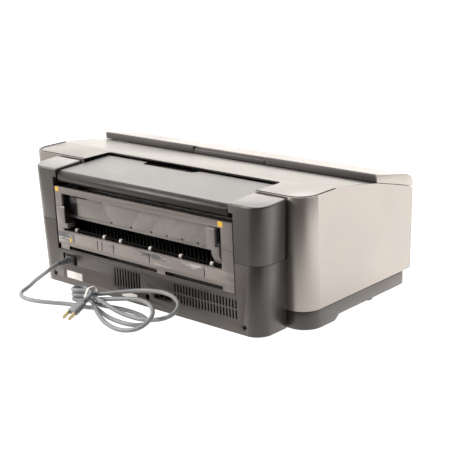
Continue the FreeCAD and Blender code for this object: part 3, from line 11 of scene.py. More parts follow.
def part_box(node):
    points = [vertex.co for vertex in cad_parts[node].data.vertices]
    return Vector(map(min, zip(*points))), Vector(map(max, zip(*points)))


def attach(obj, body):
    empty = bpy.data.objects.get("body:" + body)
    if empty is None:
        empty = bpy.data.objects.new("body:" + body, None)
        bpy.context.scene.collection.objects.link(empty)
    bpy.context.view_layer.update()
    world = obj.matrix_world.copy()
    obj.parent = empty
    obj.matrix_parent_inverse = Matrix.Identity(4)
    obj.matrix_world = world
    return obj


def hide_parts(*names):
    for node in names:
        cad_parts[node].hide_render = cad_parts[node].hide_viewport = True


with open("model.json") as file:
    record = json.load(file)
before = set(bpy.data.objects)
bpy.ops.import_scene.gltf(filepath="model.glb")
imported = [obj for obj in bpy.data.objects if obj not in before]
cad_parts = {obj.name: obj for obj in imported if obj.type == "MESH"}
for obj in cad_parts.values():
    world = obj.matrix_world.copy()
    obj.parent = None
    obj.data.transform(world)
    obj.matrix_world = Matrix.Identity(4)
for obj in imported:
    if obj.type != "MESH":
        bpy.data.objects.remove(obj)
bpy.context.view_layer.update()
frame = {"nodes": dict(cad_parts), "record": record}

bl_info = {
    "name": "Wide inkjet printer",
    "version": (1, 0, 0),
    "blender": (4, 5, 0),
    "location": "View3D > Sidebar > Printer",
    "description": "Dresses the printer's solids with rounded shells, mains lead, trim and finishes",
    "category": "Object",
}

NODES = frame["nodes"]
MM = 0.001
# Half of the case's depth and the place of the rear housing's middle across the case, in mm.
HALF_DEPTH = 162.5
REAR_X = -21.0
# Points of a solid's mesh nearer than this, in metres, are one point.
MERGE = 2e-6
BODY_OF = {node: body for body, nodes in frame["record"]["behaviour"]["bodies"].items() for node in nodes}
SLOT_OF = {row["node"]: row["material_slot"] for row in frame["record"]["subparts"]}


def spot(u, reach, z):
    """A point given across the rear face, forward from it and upwards in millimetres, in the part's frame."""
    return Vector(((REAR_X - u) * MM, (HALF_DEPTH - reach) * MM, z * MM))


def colour(name, text, default):
    """A colour that the user may change."""
    return FloatVectorProperty(
        name=name, description=text, subtype="COLOR", size=3, min=0.0, max=1.0, default=default
    )


def length(name, text, default):
    """A length that the user may change."""
    return FloatProperty(
        name=name, description=text, subtype="DISTANCE", unit="LENGTH", min=0.0, default=default
    )


class PrinterColours(bpy.types.PropertyGroup):
    silver: colour("Silver case", "Satin paint of the sides, cover and door", (0.290, 0.277, 0.265))
    rear_grey: colour("Rear housing", "Moulded plastic of the rear housing", (0.0175, 0.0143, 0.0126))
    lid_grey: colour("Feed lid", "Moulded plastic of the rear lid", (0.022, 0.0203, 0.0190))
    unit_grey: colour("Transport unit", "Moulded plastic of the rear unit's frame", (0.155, 0.143, 0.137))
    plate_grey: colour("Unit plate", "Satin plate in the unit's window", (0.160, 0.153, 0.148))
    band_grey: colour("Door band", "Charcoal strip along the door's rear edge", (0.070, 0.0695, 0.0695))
    latch_grey: colour("Latches", "Plastic of the latches and the bar in the window", (0.155, 0.150, 0.146))
    # This black also stands for painted shade in the joint round the top cover, on its bead, in the vents and
    # in the unit's grooves and slots.
    inner_black: colour("Black inside", "Black plastic of the paper path", (0.006, 0.006, 0.0062))
    inner_pale: colour("Pale inside", "Pale plastic of keys, pulleys and small rollers", (0.62, 0.61, 0.59))
    cord_grey: colour("Mains lead", "Sleeve of the lead", (0.235, 0.255, 0.272))
    tie_white: colour("Lead tie", "Paper of the twist tie", (0.86, 0.86, 0.84))
    marker_yellow: colour("Marker", "Plain yellow film marks", (0.74, 0.47, 0.05))
    sticker_white: colour("Blank sticker", "Blank paper stickers", (0.66, 0.655, 0.64))
    steel: colour("Steel", "Plated sheet steel and shafts", (0.55, 0.55, 0.545))
    board_green: colour("Board", "Lacquer of the circuit board", (0.006, 0.020, 0.012))


class PrinterSizes(bpy.types.PropertyGroup):
    shell_round: length("Shell edge", "Radius on the edges of the big shells", 0.0010)
    fine_round: length("Fine edge", "Radius on the edges of small mouldings", 0.00035)
    cord_diameter: length("Lead diameter", "Thickness of the mains lead", 0.0066)
    cord_length: length("Lead length", "Length of the mains lead without its plugs", 1.56)
    screw_radius: length("Screw head", "Radius of the rear screws' heads", 0.0038)
    film: length("Film", "Thickness of stickers and marks", 0.00015)
    rib_pitch: length("Rib pitch", "Spacing of the grip ribs on the plug", 0.0024)
    rib_count: IntProperty(name="Plug ribs", description="Grip ribs on the plug", min=0, default=7)


def colours():
    return bpy.context.scene.printer_colours


def sizes():
    return bpy.context.scene.printer_sizes


# Shader groups that several finishes share.


class Tree:
    """Adds nodes to one tree and links them; a plain number goes on the socket itself."""

    def __init__(self, tree):
        self.tree = tree

    def add(self, kind, **settings):
        node = self.tree.nodes.new(kind)
        for key, value in settings.items():
            setattr(node, key, value)
        return node

    def feed(self, socket, value):
        if isinstance(value, bpy.types.NodeSocket):
            self.tree.links.new(value, socket)
        else:
            socket.default_value = value

    def math(self, operation, first, second=0.0, clamp=False):
        node = self.add("ShaderNodeMath", operation=operation, use_clamp=clamp)
        self.feed(node.inputs[0], first)
        self.feed(node.inputs[1], second)
        return node.outputs[0]

    def spread(self, value, low, high, to_low=0.0, to_high=1.0):
        node = self.add("ShaderNodeMapRange", clamp=True)
        for socket, item in zip(node.inputs, (value, low, high, to_low, to_high)):
            self.feed(socket, item)
        return node.outputs[0]

    def mix(self, share, first, second, blend="MIX"):
        node = self.add("ShaderNodeMix", data_type="RGBA", blend_type=blend, clamp_factor=True)
        self.feed(node.inputs[0], share)
        self.feed(node.inputs[6], first)
        self.feed(node.inputs[7], second)
        return node.outputs[2]

    def noise(self, scale, detail=2.0, rough=0.5, stretch=None):
        place = self.add("ShaderNodeTexCoord").outputs["Object"]
        if stretch is not None:
            turn = self.add("ShaderNodeMapping")
            self.feed(turn.inputs["Vector"], place)
            turn.inputs["Scale"].default_value = stretch
            place = turn.outputs["Vector"]
        node = self.add("ShaderNodeTexNoise")
        self.feed(node.inputs["Vector"], place)
        self.feed(node.inputs["Scale"], scale)
        self.feed(node.inputs["Detail"], detail)
        self.feed(node.inputs["Roughness"], rough)
        return node.outputs["Fac"]

    def part(self, axis):
        node = self.add("ShaderNodeSeparateXYZ")
        self.feed(node.inputs[0], self.add("ShaderNodeTexCoord").outputs["Object"])
        return node.outputs[axis]


def shader_group(name, inputs, outputs, fill):
    """A shader node group with named sockets, built once."""
    if name in bpy.data.node_groups:
        return bpy.data.node_groups[name]
    group = bpy.data.node_groups.new(name, "ShaderNodeTree")
    for label, default in inputs:
        socket = group.interface.new_socket(label, in_out="INPUT", socket_type="NodeSocketFloat")
        socket.default_value = default
    for label in outputs:
        group.interface.new_socket(label, in_out="OUTPUT", socket_type="NodeSocketFloat")
    tree = Tree(group)
    entry = tree.add("NodeGroupInput")
    leave = tree.add("NodeGroupOutput")
    fill(tree, entry.outputs, leave.inputs)
    return group


def fill_grain(tree, given, put):
    """Fine moulded grain, and a broad drift of tone."""
    fine = tree.noise(given["Scale"], 3.0, 0.6)
    broad = tree.noise(11.0, 2.0)
    tree.feed(put["Height"], fine)
    tree.feed(put["Variation"], tree.spread(broad, 0.3, 0.7))


def fill_edge_wear(tree, given, put):
    """Broken lines of wear along the edges."""
    soft = tree.add("ShaderNodeBevel", samples=4)
    tree.feed(soft.inputs["Radius"], given["Radius"])
    facing = tree.add("ShaderNodeVectorMath", operation="DOT_PRODUCT")
    tree.feed(facing.inputs[0], soft.outputs["Normal"])
    tree.feed(facing.inputs[1], tree.add("ShaderNodeNewGeometry").outputs["Normal"])
    edge = tree.spread(tree.math("SUBTRACT", 1.0, facing.outputs["Value"]), 0.02, 0.30)
    broken = tree.spread(tree.noise(140.0, 4.0, 0.65), 0.40, 0.66)
    tree.feed(put["Mask"], tree.math("MULTIPLY", tree.math("MULTIPLY", edge, broken), given["Amount"], True))


def fill_dust(tree, given, put):
    """Patches of dust on what faces up."""
    split = tree.add("ShaderNodeSeparateXYZ")
    tree.feed(split.inputs[0], tree.add("ShaderNodeTexCoord").outputs["Normal"])
    upward = tree.spread(split.outputs["Z"], 0.55, 0.98)
    patch = tree.spread(tree.noise(26.0, 5.0, 0.62), 0.36, 0.72)
    tree.feed(put["Mask"], tree.math("MULTIPLY", tree.math("MULTIPLY", upward, patch), given["Amount"], True))


def fill_smudge(tree, given, put):
    """Clouds between a bright and a dull gloss."""
    cloud = tree.spread(tree.noise(given["Scale"], 4.0, 0.55), 0.32, 0.68)
    swing = tree.math("SUBTRACT", given["Dull"], given["Bright"])
    tree.feed(put["Roughness"], tree.math("ADD", given["Bright"], tree.math("MULTIPLY", cloud, swing)))


def fill_brushing(tree, given, put):
    """Fine lines along the width of the case."""
    lines = tree.noise(given["Scale"], 6.0, 0.7, (0.6, 30.0, 30.0))
    tree.feed(put["Lines"], tree.spread(lines, 0.3, 0.7))


def finish_groups():
    """The shared groups by short name."""
    return {
        "grain": shader_group("Moulded grain", [("Scale", 1500.0)], ["Height", "Variation"], fill_grain),
        "wear": shader_group("Edge wear", [("Radius", 0.0012), ("Amount", 0.4)], ["Mask"], fill_edge_wear),
        "dust": shader_group("Settled dust", [("Amount", 0.2)], ["Mask"], fill_dust),
        "smudge": shader_group(
            "Handling smudges", [("Scale", 14.0), ("Bright", 0.35), ("Dull", 0.5)], ["Roughness"], fill_smudge
        ),
        "brushing": shader_group("Rolled lines", [("Scale", 60.0)], ["Lines"], fill_brushing),
    }


def tint(shade, gain):
    """A colour made darker or lighter, with its alpha."""
    return tuple(min(1.0, channel * gain) for channel in shade[:3]) + (1.0,)


class Finish:
    """A material with one surface shader and the shared groups at hand."""

    def __init__(self, name):
        self.material = bpy.data.materials.new(name)
        self.material.use_nodes = True
        self.tree = Tree(self.material.node_tree)
        self.shader = self.material.node_tree.nodes["Principled BSDF"]
        self.groups = finish_groups()

    def group(self, key, **values):
        node = self.tree.add("ShaderNodeGroup", node_tree=self.groups[key])
        for label, value in values.items():
            node.inputs[label].default_value = value
        return node.outputs

    def put(self, label, value):
        self.tree.feed(self.shader.inputs[label], value)

    def bump(self, height, strength, distance):
        node = self.tree.add("ShaderNodeBump")
        node.inputs["Strength"].default_value = strength
        node.inputs["Distance"].default_value = distance
        self.tree.feed(node.inputs["Height"], height)
        self.put("Normal", node.outputs["Normal"])


def moulded(
    name,
    shade,
    gloss=(0.36, 0.50),
    grain=1500.0,
    depth=0.00005,
    wear=0.35,
    dust=0.12,
    coat=0.0,
    base=None,
    sheen=0.0,
    level=0.5,
):
    """Injection-moulded plastic: grain, slight colour drift, scuffed edges, settled dust."""
    look = Finish(name)
    tree = look.tree
    rough = look.group("grain", Scale=grain)
    body = base(tree) if base else tree.mix(rough["Variation"], tint(shade, 0.93), tint(shade, 1.07))
    paler = tint([0.10 + 0.9 * c for c in shade[:3]], 1.0)
    worn = tree.mix(look.group("wear", Amount=wear)["Mask"], body, paler)
    dusty = tree.mix(look.group("dust", Amount=dust)["Mask"], worn, (0.50, 0.49, 0.47, 1.0))
    look.put("Base Color", dusty)
    look.put("Roughness", look.group("smudge", Bright=gloss[0], Dull=gloss[1])["Roughness"])
    look.put("Coat Weight", coat)
    look.put("Coat Roughness", 0.34)
    look.put("Specular IOR Level", level)
    look.put("Sheen Weight", sheen)
    look.put("Sheen Roughness", 0.35)
    look.bump(rough["Height"], 0.22, depth)
    return look.material


def silver_paint(name, shade):
    """Satin metallic paint with a fine sparkle of flake."""
    look = Finish(name)
    tree = look.tree
    rough = look.group("grain", Scale=2200.0)
    flake = tree.spread(rough["Height"], 0.35, 0.65)
    body = tree.mix(flake, tint(shade, 0.90), tint(shade, 1.10))
    drift = tree.mix(rough["Variation"], (0.97, 0.97, 0.97, 1.0), (1.03, 1.02, 1.01, 1.0))
    toned = tree.mix(1.0, body, drift, "MULTIPLY")
    worn = tree.mix(look.group("wear", Amount=0.25)["Mask"], toned, tint(shade, 1.45))
    look.put("Base Color", tree.mix(look.group("dust", Amount=0.08)["Mask"], worn, (0.62, 0.61, 0.60, 1.0)))
    look.put("Roughness", look.group("smudge", Bright=0.32, Dull=0.40, Scale=9.0)["Roughness"])
    look.put("Metallic", 0.9)
    look.bump(rough["Height"], 0.10, 0.00003)
    return look.material


def rolled_steel(name, shade, gloss=(0.24, 0.38)):
    """Plated sheet or shaft steel with rolling lines."""
    look = Finish(name)
    tree = look.tree
    lines = look.group("brushing")["Lines"]
    body = tree.mix(lines, tint(shade, 0.86), tint(shade, 1.08))
    look.put("Base Color", tree.mix(look.group("wear", Amount=0.3)["Mask"], body, tint(shade, 1.3)))
    look.put("Roughness", look.group("smudge", Bright=gloss[0], Dull=gloss[1], Scale=30.0)["Roughness"])
    look.put("Metallic", 1.0)
    look.bump(lines, 0.12, 0.00004)
    return look.material


# Meshes.


def piece(name, mesh, body, slot, *materials):
    """A finished piece at the origin that rides on a body."""
    thing = bpy.data.objects.new(name, mesh)
    bpy.context.scene.collection.objects.link(thing)
    if mesh.materials:
        mesh.materials.clear()
    for material in materials:
        mesh.materials.append(material)
    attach(thing, body)
    return thing


def mesh_from(name, work, smooth=35.0):
    """A mesh out of a bmesh, smooth except across sharp edges."""
    limit = math.radians(smooth)
    for face in work.faces:
        face.smooth = face.calc_area() < 0.02 * face.calc_perimeter()
    for edge in work.edges:
        edge.smooth = len(edge.link_faces) == 2 and edge.calc_face_angle(0.0) < limit
    mesh = bpy.data.meshes.new(name)
    work.to_mesh(mesh)
    work.free()
    return mesh


def merged(node):
    """A copy of the node's mesh with its loose triangles joined."""
    work = bmesh.new()
    work.from_mesh(NODES[node].data)
    bmesh.ops.remove_doubles(work, verts=work.verts, dist=MERGE)
    return work


def skin(work, loops):
    """Joins rings of points into a closed tube and returns its faces."""
    faces = [work.faces.new(list(reversed(loops[0]))), work.faces.new(loops[-1])]
    for first, second in zip(loops, loops[1:]):
        for index in range(len(first)):
            after = (index + 1) % len(first)
            faces.append(work.faces.new((first[index], first[after], second[after], second[index])))
    return faces


def rounded_copy(node, radius, sharp=32.0):
    """The node's shape with its sharp edges rounded."""
    work = merged(node)
    bmesh.ops.dissolve_limit(work, angle_limit=math.radians(0.5), verts=work.verts, edges=work.edges)
    bmesh.ops.dissolve_degenerate(work, edges=work.edges, dist=MERGE)
    limit = math.radians(sharp)
    edges = [e for e in work.edges if len(e.link_faces) == 2 and e.calc_face_angle(0.0) > limit]
    bmesh.ops.bevel(
        work,
        geom=edges,
        offset=radius,
        offset_type="OFFSET",
        segments=2,
        profile=0.5,
        affect="EDGES",
        clamp_overlap=True,
        loop_slide=True,
    )
    return mesh_from(node + "_rounded", work, 30.0)


def dress(node, radius, slot, *materials):
    """Shows a rounded copy in place of the node."""
    thing = piece(node + "_shell", rounded_copy(node, radius), BODY_OF[node], slot, *materials)
    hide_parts(node)
    return thing


def cover_with(material, *nodes):
    """Gives nodes that keep their own shape a finish."""
    for node in nodes:
        slots = NODES[node].data.materials
        slots.clear()
        slots.append(material)


def plate(name, centre, width, height, thick, corner, rear_y):
    """A thin film with rounded corners that lies on a surface facing the rear."""
    work = bmesh.new()
    outline = []
    for index, (sx, sz) in enumerate(((1, 1), (-1, 1), (-1, -1), (1, -1))):
        middle = (centre[0] + sx * (width / 2 - corner), centre[1] + sz * (height / 2 - corner))
        for step in range(5):
            turn = math.radians(90 * index + 22.5 * step)
            outline.append((middle[0] + corner * math.cos(turn), middle[1] + corner * math.sin(turn)))
    back = [work.verts.new((x, rear_y, z)) for x, z in outline]
    front = [work.verts.new((x, rear_y + thick, z)) for x, z in outline]
    skin(work, [back, front])
    bmesh.ops.recalc_face_normals(work, faces=work.faces)
    return mesh_from(name, work, 30.0)


def rear_surface(node, x, z):
    """How far back the node's surface lies at a place on its rear side."""
    work = bmesh.new()
    work.from_mesh(NODES[node].data)
    tree = BVHTree.FromBMesh(work)
    found = tree.ray_cast(Vector((x, 0.4, z)), Vector((0, -1, 0)))
    work.free()
    if found[0] is None:
        raise RuntimeError(f"no surface of {node} at {x:.4f}, {z:.4f}")
    return found[0].y


# Geometry node trees for what repeats.


def growth(name, inputs, fill):
    """A geometry node tree with named inputs that ends in real meshes of one finish."""
    if name in bpy.data.node_groups:
        return bpy.data.node_groups[name]
    group = bpy.data.node_groups.new(name, "GeometryNodeTree")
    group.interface.new_socket("Places", in_out="INPUT", socket_type="NodeSocketGeometry")
    group.interface.new_socket("Finish", in_out="INPUT", socket_type="NodeSocketMaterial")
    for label, kind, default in inputs:
        socket = group.interface.new_socket(label, in_out="INPUT", socket_type="NodeSocket" + kind)
        socket.default_value = default
    group.interface.new_socket("Pieces", in_out="OUTPUT", socket_type="NodeSocketGeometry")
    tree = Tree(group)
    given = tree.add("NodeGroupInput").outputs
    real = tree.add("GeometryNodeRealizeInstances")
    tree.feed(real.inputs["Geometry"], fill(tree, given))
    paint = tree.add("GeometryNodeSetMaterial")
    tree.feed(paint.inputs["Geometry"], real.outputs[0])
    tree.feed(paint.inputs["Material"], given["Finish"])
    tree.feed(tree.add("NodeGroupOutput").inputs["Pieces"], paint.outputs[0])
    return group


def node_of(tree, kind, links, **settings):
    """A node with its sockets fed by name, and its first output."""
    node = tree.add(kind, **settings)
    for label, value in links.items():
        tree.feed(node.inputs[label], value)
    return node.outputs[0]


def shape_of(tree, x=0.0, y=0.0, z=0.0):
    """A vector of three values."""
    return node_of(tree, "ShaderNodeCombineXYZ", {"X": x, "Y": y, "Z": z})


def fill_screws(tree, given):
    """Pan-head screws with a cross recess that face the rear, one at each place."""
    radius, rise = given["Head radius"], given["Head height"]
    crown = tree.math("MULTIPLY", radius, 0.80)
    cone = {"Vertices": 28, "Radius Top": crown, "Radius Bottom": radius, "Depth": rise}
    head = node_of(tree, "GeometryNodeMeshCone", cone)
    long, narrow = tree.math("MULTIPLY", radius, 1.15), tree.math("MULTIPLY", radius, 0.27)
    tool = tree.add("GeometryNodeJoinGeometry")
    for x, y in ((long, narrow), (narrow, long)):
        bar = node_of(tree, "GeometryNodeMeshCube", {"Size": shape_of(tree, x, y, rise)})
        lift = {"Geometry": bar, "Translation": shape_of(tree, z=rise)}
        tree.feed(tool.inputs[0], node_of(tree, "GeometryNodeTransform", lift))
    recessed = tree.add("GeometryNodeMeshBoolean", operation="DIFFERENCE")
    tree.feed(recessed.inputs["Mesh 1"], head)
    tree.feed(recessed.inputs["Mesh 2"], tool.outputs[0])
    shank = node_of(
        tree,
        "GeometryNodeMeshCylinder",
        {"Vertices": 16, "Radius": tree.math("MULTIPLY", radius, 0.45), "Depth": given["Shank length"]},
    )
    drop = shape_of(tree, z=tree.math("MULTIPLY", given["Shank length"], -0.5))
    whole = tree.add("GeometryNodeJoinGeometry")
    tree.feed(whole.inputs[0], recessed.outputs[0])
    sunk = {"Geometry": shank, "Translation": drop}
    tree.feed(whole.inputs[0], node_of(tree, "GeometryNodeTransform", sunk))
    quarter = (math.radians(-90), 0.0, 0.0)
    turned = node_of(tree, "GeometryNodeTransform", {"Geometry": whole.outputs[0], "Rotation": quarter})
    return node_of(tree, "GeometryNodeInstanceOnPoints", {"Points": given["Places"], "Instance": turned})


def fill_ribs(tree, given):
    """A row of low ribs with chamfered tops, starting at each place."""
    size = tree.add("ShaderNodeSeparateXYZ")
    tree.feed(size.inputs[0], given["Rib size"])
    x, y, z = size.outputs
    foot = node_of(tree, "GeometryNodeMeshCube", {"Size": given["Rib size"]})
    shares = ((x, 0.5), (y, 0.97), (z, 0.5))
    smaller = shape_of(tree, *(tree.math("MULTIPLY", side, share) for side, share in shares))
    crown = node_of(tree, "GeometryNodeMeshCube", {"Size": smaller})
    lift = {"Geometry": crown, "Translation": shape_of(tree, z=tree.math("MULTIPLY", z, 0.5))}
    both = tree.add("GeometryNodeJoinGeometry")
    tree.feed(both.inputs[0], foot)
    tree.feed(both.inputs[0], node_of(tree, "GeometryNodeTransform", lift))
    hull = node_of(tree, "GeometryNodeConvexHull", {"Geometry": both.outputs[0]})
    step = shape_of(tree, given["Pitch"])
    line = node_of(tree, "GeometryNodeMeshLine", {"Count": given["Count"], "Offset": step})
    row = node_of(tree, "GeometryNodeInstanceOnPoints", {"Points": line, "Instance": hull})
    return node_of(tree, "GeometryNodeInstanceOnPoints", {"Points": given["Places"], "Instance": row})


def grow(name, group, places, finish, body, slot, **values):
    """Grows a tree on places and keeps the result as one plain mesh on a body."""
    seed = bpy.data.meshes.new(name + "_places")
    seed.from_pydata(places, [], [])
    holder = bpy.data.objects.new(name + "_places", seed)
    bpy.context.scene.collection.objects.link(holder)
    grower = holder.modifiers.new("Growth", "NODES")
    grower.node_group = group
    values["Finish"] = finish
    for item in group.interface.items_tree:
        if item.in_out == "INPUT" and item.name in values:
            grower[item.identifier] = values[item.name]
    bpy.context.view_layer.update()
    mesh = bpy.data.meshes.new_from_object(holder.evaluated_get(bpy.context.evaluated_depsgraph_get()))
    holder.modifiers.remove(grower)
    bpy.data.objects.remove(holder)
    work = bmesh.new()
    work.from_mesh(mesh)
    bmesh.ops.recalc_face_normals(work, faces=work.faces)
    work.to_mesh(mesh)
    work.free()
    mesh.name = name
    return piece(name, mesh, body, slot, finish)


# Stage: camera at the photograph's view, pale floor, soft light.

# The camera: place in metres, angles in degrees, focal length in mm on a 36 mm sensor.
CAMERA_PLACE = (-1.27407, 1.31391, 0.62358)
CAMERA_YAW, CAMERA_PITCH, CAMERA_ROLL = -42.9805, 16.3626, -2.5405
CAMERA_LENS = 93.42
SENSOR_WIDTH = 36.0
FLOOR_HALF = 9.0
# The floor's glow as the object meets it: dim behind it, bright in front of it.
GLOW_DIM = (0.13, 0.117, 0.107, 1.0)
GLOW_BRIGHT = (1.95, 1.83, 1.73, 1.0)
FLOOR_SEEN = (0.84, 0.84, 0.84, 1.0)
# Bright areas of the studio: direction, the spread of the glow about it, and its dim and bright ends.
SKY_PANELS = (
    ((0.66, -0.66, 0.36), -0.20, 0.93, 0.05, 1.85),
    ((-0.72, -0.66, 0.20), 0.20, 0.95, 0.0, 0.35),
)


def soft_light(name, place, aim, size, power, shade=(1.0, 1.0, 1.0)):
    """A large square lamp."""
    lamp = bpy.data.lights.new(name, "AREA")
    lamp.shape = "SQUARE"
    lamp.size = size
    lamp.energy = power
    lamp.color = shade
    thing = bpy.data.objects.new(name, lamp)
    thing.location = place
    thing.rotation_euler = (Vector(aim) - Vector(place)).to_track_quat("-Z", "Y").to_euler()
    thing.visible_camera = False
    bpy.context.scene.collection.objects.link(thing)


class PRINTER_OT_stage(bpy.types.Operator):
    """Set up the camera, the pale floor and the soft lamps"""

    bl_idname = "printer.stage"
    bl_label = "Stage"

    def execute(self, context):
        self.camera(context.scene)
        self.floor(context.scene)
        self.studio(context.scene)
        soft_light("key_lamp", (1.6, 2.1, 1.3), (0.0, 0.1, 0.1), 1.3, 78.0, (1.0, 0.915, 0.85))
        soft_light("top_lamp", (0.3, -0.9, 2.2), (0.0, 0.0, 0.15), 1.8, 30.0)
        return {"FINISHED"}

    def camera(self, scene):
        """The camera, turned by its yaw, pitch and roll."""
        yaw, pitch, roll = (math.radians(a) for a in (CAMERA_YAW, CAMERA_PITCH, CAMERA_ROLL))
        ahead = Vector((-math.sin(yaw) * math.cos(pitch), -math.cos(yaw) * math.cos(pitch), -math.sin(pitch)))
        right = Vector((-math.cos(yaw), math.sin(yaw), 0.0))
        up = right.cross(ahead)
        side = right * math.cos(roll) + up * math.sin(roll)
        top = up * math.cos(roll) - right * math.sin(roll)
        lens = bpy.data.cameras.new("Camera")
        lens.lens = CAMERA_LENS
        lens.sensor_width = SENSOR_WIDTH
        lens.clip_start = 0.05
        view = bpy.data.objects.new("Camera", lens)
        turn = Matrix((side, top, -ahead)).transposed()
        view.matrix_world = Matrix.Translation(CAMERA_PLACE) @ turn.to_4x4()
        scene.collection.objects.link(view)
        scene.camera = view
        scene.view_settings.view_transform = "Standard"

    def floor(self, scene):
        """A pale floor that glows less behind the object, where the studio is dark."""
        work = bmesh.new()
        bmesh.ops.create_grid(work, x_segments=8, y_segments=8, size=FLOOR_HALF)
        mesh = bpy.data.meshes.new("floor")
        work.to_mesh(mesh)
        work.free()
        floor = bpy.data.objects.new("floor", mesh)
        scene.collection.objects.link(floor)
        look = Finish("Pale floor")
        tree = look.tree
        cloud = tree.spread(tree.noise(3.0), 0.3, 0.7)
        look.put("Base Color", tree.mix(cloud, (0.22, 0.22, 0.22, 1.0), (0.25, 0.25, 0.25, 1.0)))
        look.put("Roughness", 0.5)
        across = tree.part("X")
        left = tree.math("MINIMUM", tree.math("MULTIPLY", across, 1.2), 0.23)
        aside = tree.math("MAXIMUM", tree.math("MULTIPLY", across, -0.42), left)
        away = tree.math("SUBTRACT", aside, tree.part("Y"))
        bounce = tree.mix(tree.spread(away, -0.36, 0.34), GLOW_DIM, GLOW_BRIGHT)
        direct = tree.add("ShaderNodeLightPath").outputs["Is Camera Ray"]
        look.put("Emission Color", tree.mix(direct, bounce, FLOOR_SEEN))
        look.put("Emission Strength", 1.2)
        mesh.materials.append(look.material)

    def studio(self, scene):
        """A white backdrop, with soft bright areas for what the object reflects."""
        world = bpy.data.worlds.new("Studio")
        world.use_nodes = True
        tree = Tree(world.node_tree)
        seen = world.node_tree.nodes["Background"]
        seen.inputs["Color"].default_value = (1.0, 1.0, 1.0, 1.0)
        seen.inputs["Strength"].default_value = 1.05
        around = tree.add("ShaderNodeBackground")
        around.inputs["Color"].default_value = (1.0, 0.965, 0.925, 1.0)
        way = tree.add("ShaderNodeTexCoord").outputs["Generated"]
        glow = []
        for middle, low, high, dim, bright in SKY_PANELS:
            toward = tree.add("ShaderNodeVectorMath", operation="DOT_PRODUCT")
            tree.feed(toward.inputs[0], way)
            toward.inputs[1].default_value = Vector(middle).normalized()
            glow.append(tree.spread(toward.outputs["Value"], low, high, dim, bright))
        tree.feed(around.inputs["Strength"], tree.math("ADD", *glow))
        which = tree.add("ShaderNodeMixShader")
        tree.feed(which.inputs[0], tree.add("ShaderNodeLightPath").outputs["Is Camera Ray"])
        tree.feed(which.inputs[1], around.outputs[0])
        tree.feed(which.inputs[2], seen.outputs[0])
        tree.feed(world.node_tree.nodes["World Output"].inputs["Surface"], which.outputs[0])
        scene.world = world


# Mains lead: the same route as its solid, hank and all, in one smooth line.

# The free stretch: across the rear, forward from it and up, in mm.
LEAD_ROUTE = (
    (-167, -26, 44.4),
    (-167, -36, 43.2),
    (-171, -44.5, 37.2),
    (-182.5, -49.5, 28),
    (-195.5, -53, 18.3),
    (-203.5, -58, 9.4),
    (-207, -66.5, 4.4),
    (-203.5, -76.5, 3.6),
    (-195, -84.5, 3.5),
    (-183, -90, 3.5),
    (-167, -91.5, 3.5),
    (-146, -87.5, 3.5),
    (-119, -76.5, 3.6),
    (-92, -66.5, 4.2),
)
# The hank's waist, the height of its layers, its lowest line and the side its first turn starts on, in mm.
HANK_WAIST = (-62.0, -48.0)
HANK_LAYER = 7.8
HANK_LOW = 4.9
HANK_SIDE = -16.5
# Each lobe: direction in degrees, length, half width, tilt in degrees, rise at its far end.
HANK_LOBES = ((-5.0, 130.0, 19.0, 3.0, 0.0), (-11.0, 158.0, 34.0, 30.0, 6.5), (5.0, 172.0, 32.0, 31.0, 7.0))
# Half of a lobe's outline as shares of its length and half width, and of the loop behind the waist, in mm.
LOBE_SIDE = ((0.12, 0.30), (0.30, 0.68), (0.52, 0.97), (0.76, 0.95), (0.94, 0.58))
LOBE_SHAPE = LOBE_SIDE + ((1.0, 0.0),) + tuple((share, -across) for share, across in reversed(LOBE_SIDE))
BACK_SIDE = ((-11.0, 6.6), (-21.5, 11.2), (-31.8, 11.5), (-38.5, 4.8))
BACK_SHAPE = BACK_SIDE + tuple((back, -across) for back, across in reversed(BACK_SIDE))
# The last stretch, from the waist to the plug: across, outwards, and down from the top layer.
HANK_TAIL = ((0.0, -3.9, 0.0), (7.0, -7.3, -0.6), (10.8, -13.2, -2.6), (11.5, -20.0, -5.6))
PLUG_WAY = Vector((0.0, 0.925, -0.38)).normalized()
# The connector's relief, in metres: radii of its grooves and of the rings' shaded sides, both painted darker
# as shade, and its start, behind which the body in its well is painted shade.
RELIEF_CORE, RELIEF_SIDE, RELIEF_START = 0.0041, 0.0058, 0.1643
# Lowest place of the tie's paper above the floor, in metres.
TIE_LOWEST = 0.0002
# The tie's two loose ends: phase of the twist, and steps from its end.
TIE_ENDS = (
    (0.0, ((-0.004, 0.0045, -0.001), (-0.010, 0.0085, -0.005), (-0.0125, 0.0105, -0.0095))),
    (math.pi, ((0.0015, 0.0050, -0.003), (0.002, 0.0085, -0.0085), (0.0005, 0.0105, -0.0125))),
)
# Blades of the plug: places along it, half thickness and half height, and each blade's place across, in mm.
BLADE_SECTIONS = ((33.9, 0.75, 3.1), (47.0, 0.75, 3.1), (48.4, 0.6, 2.4), (49.0, 0.35, 1.8))
BLADE_SIDES = (-6.35, 6.35)


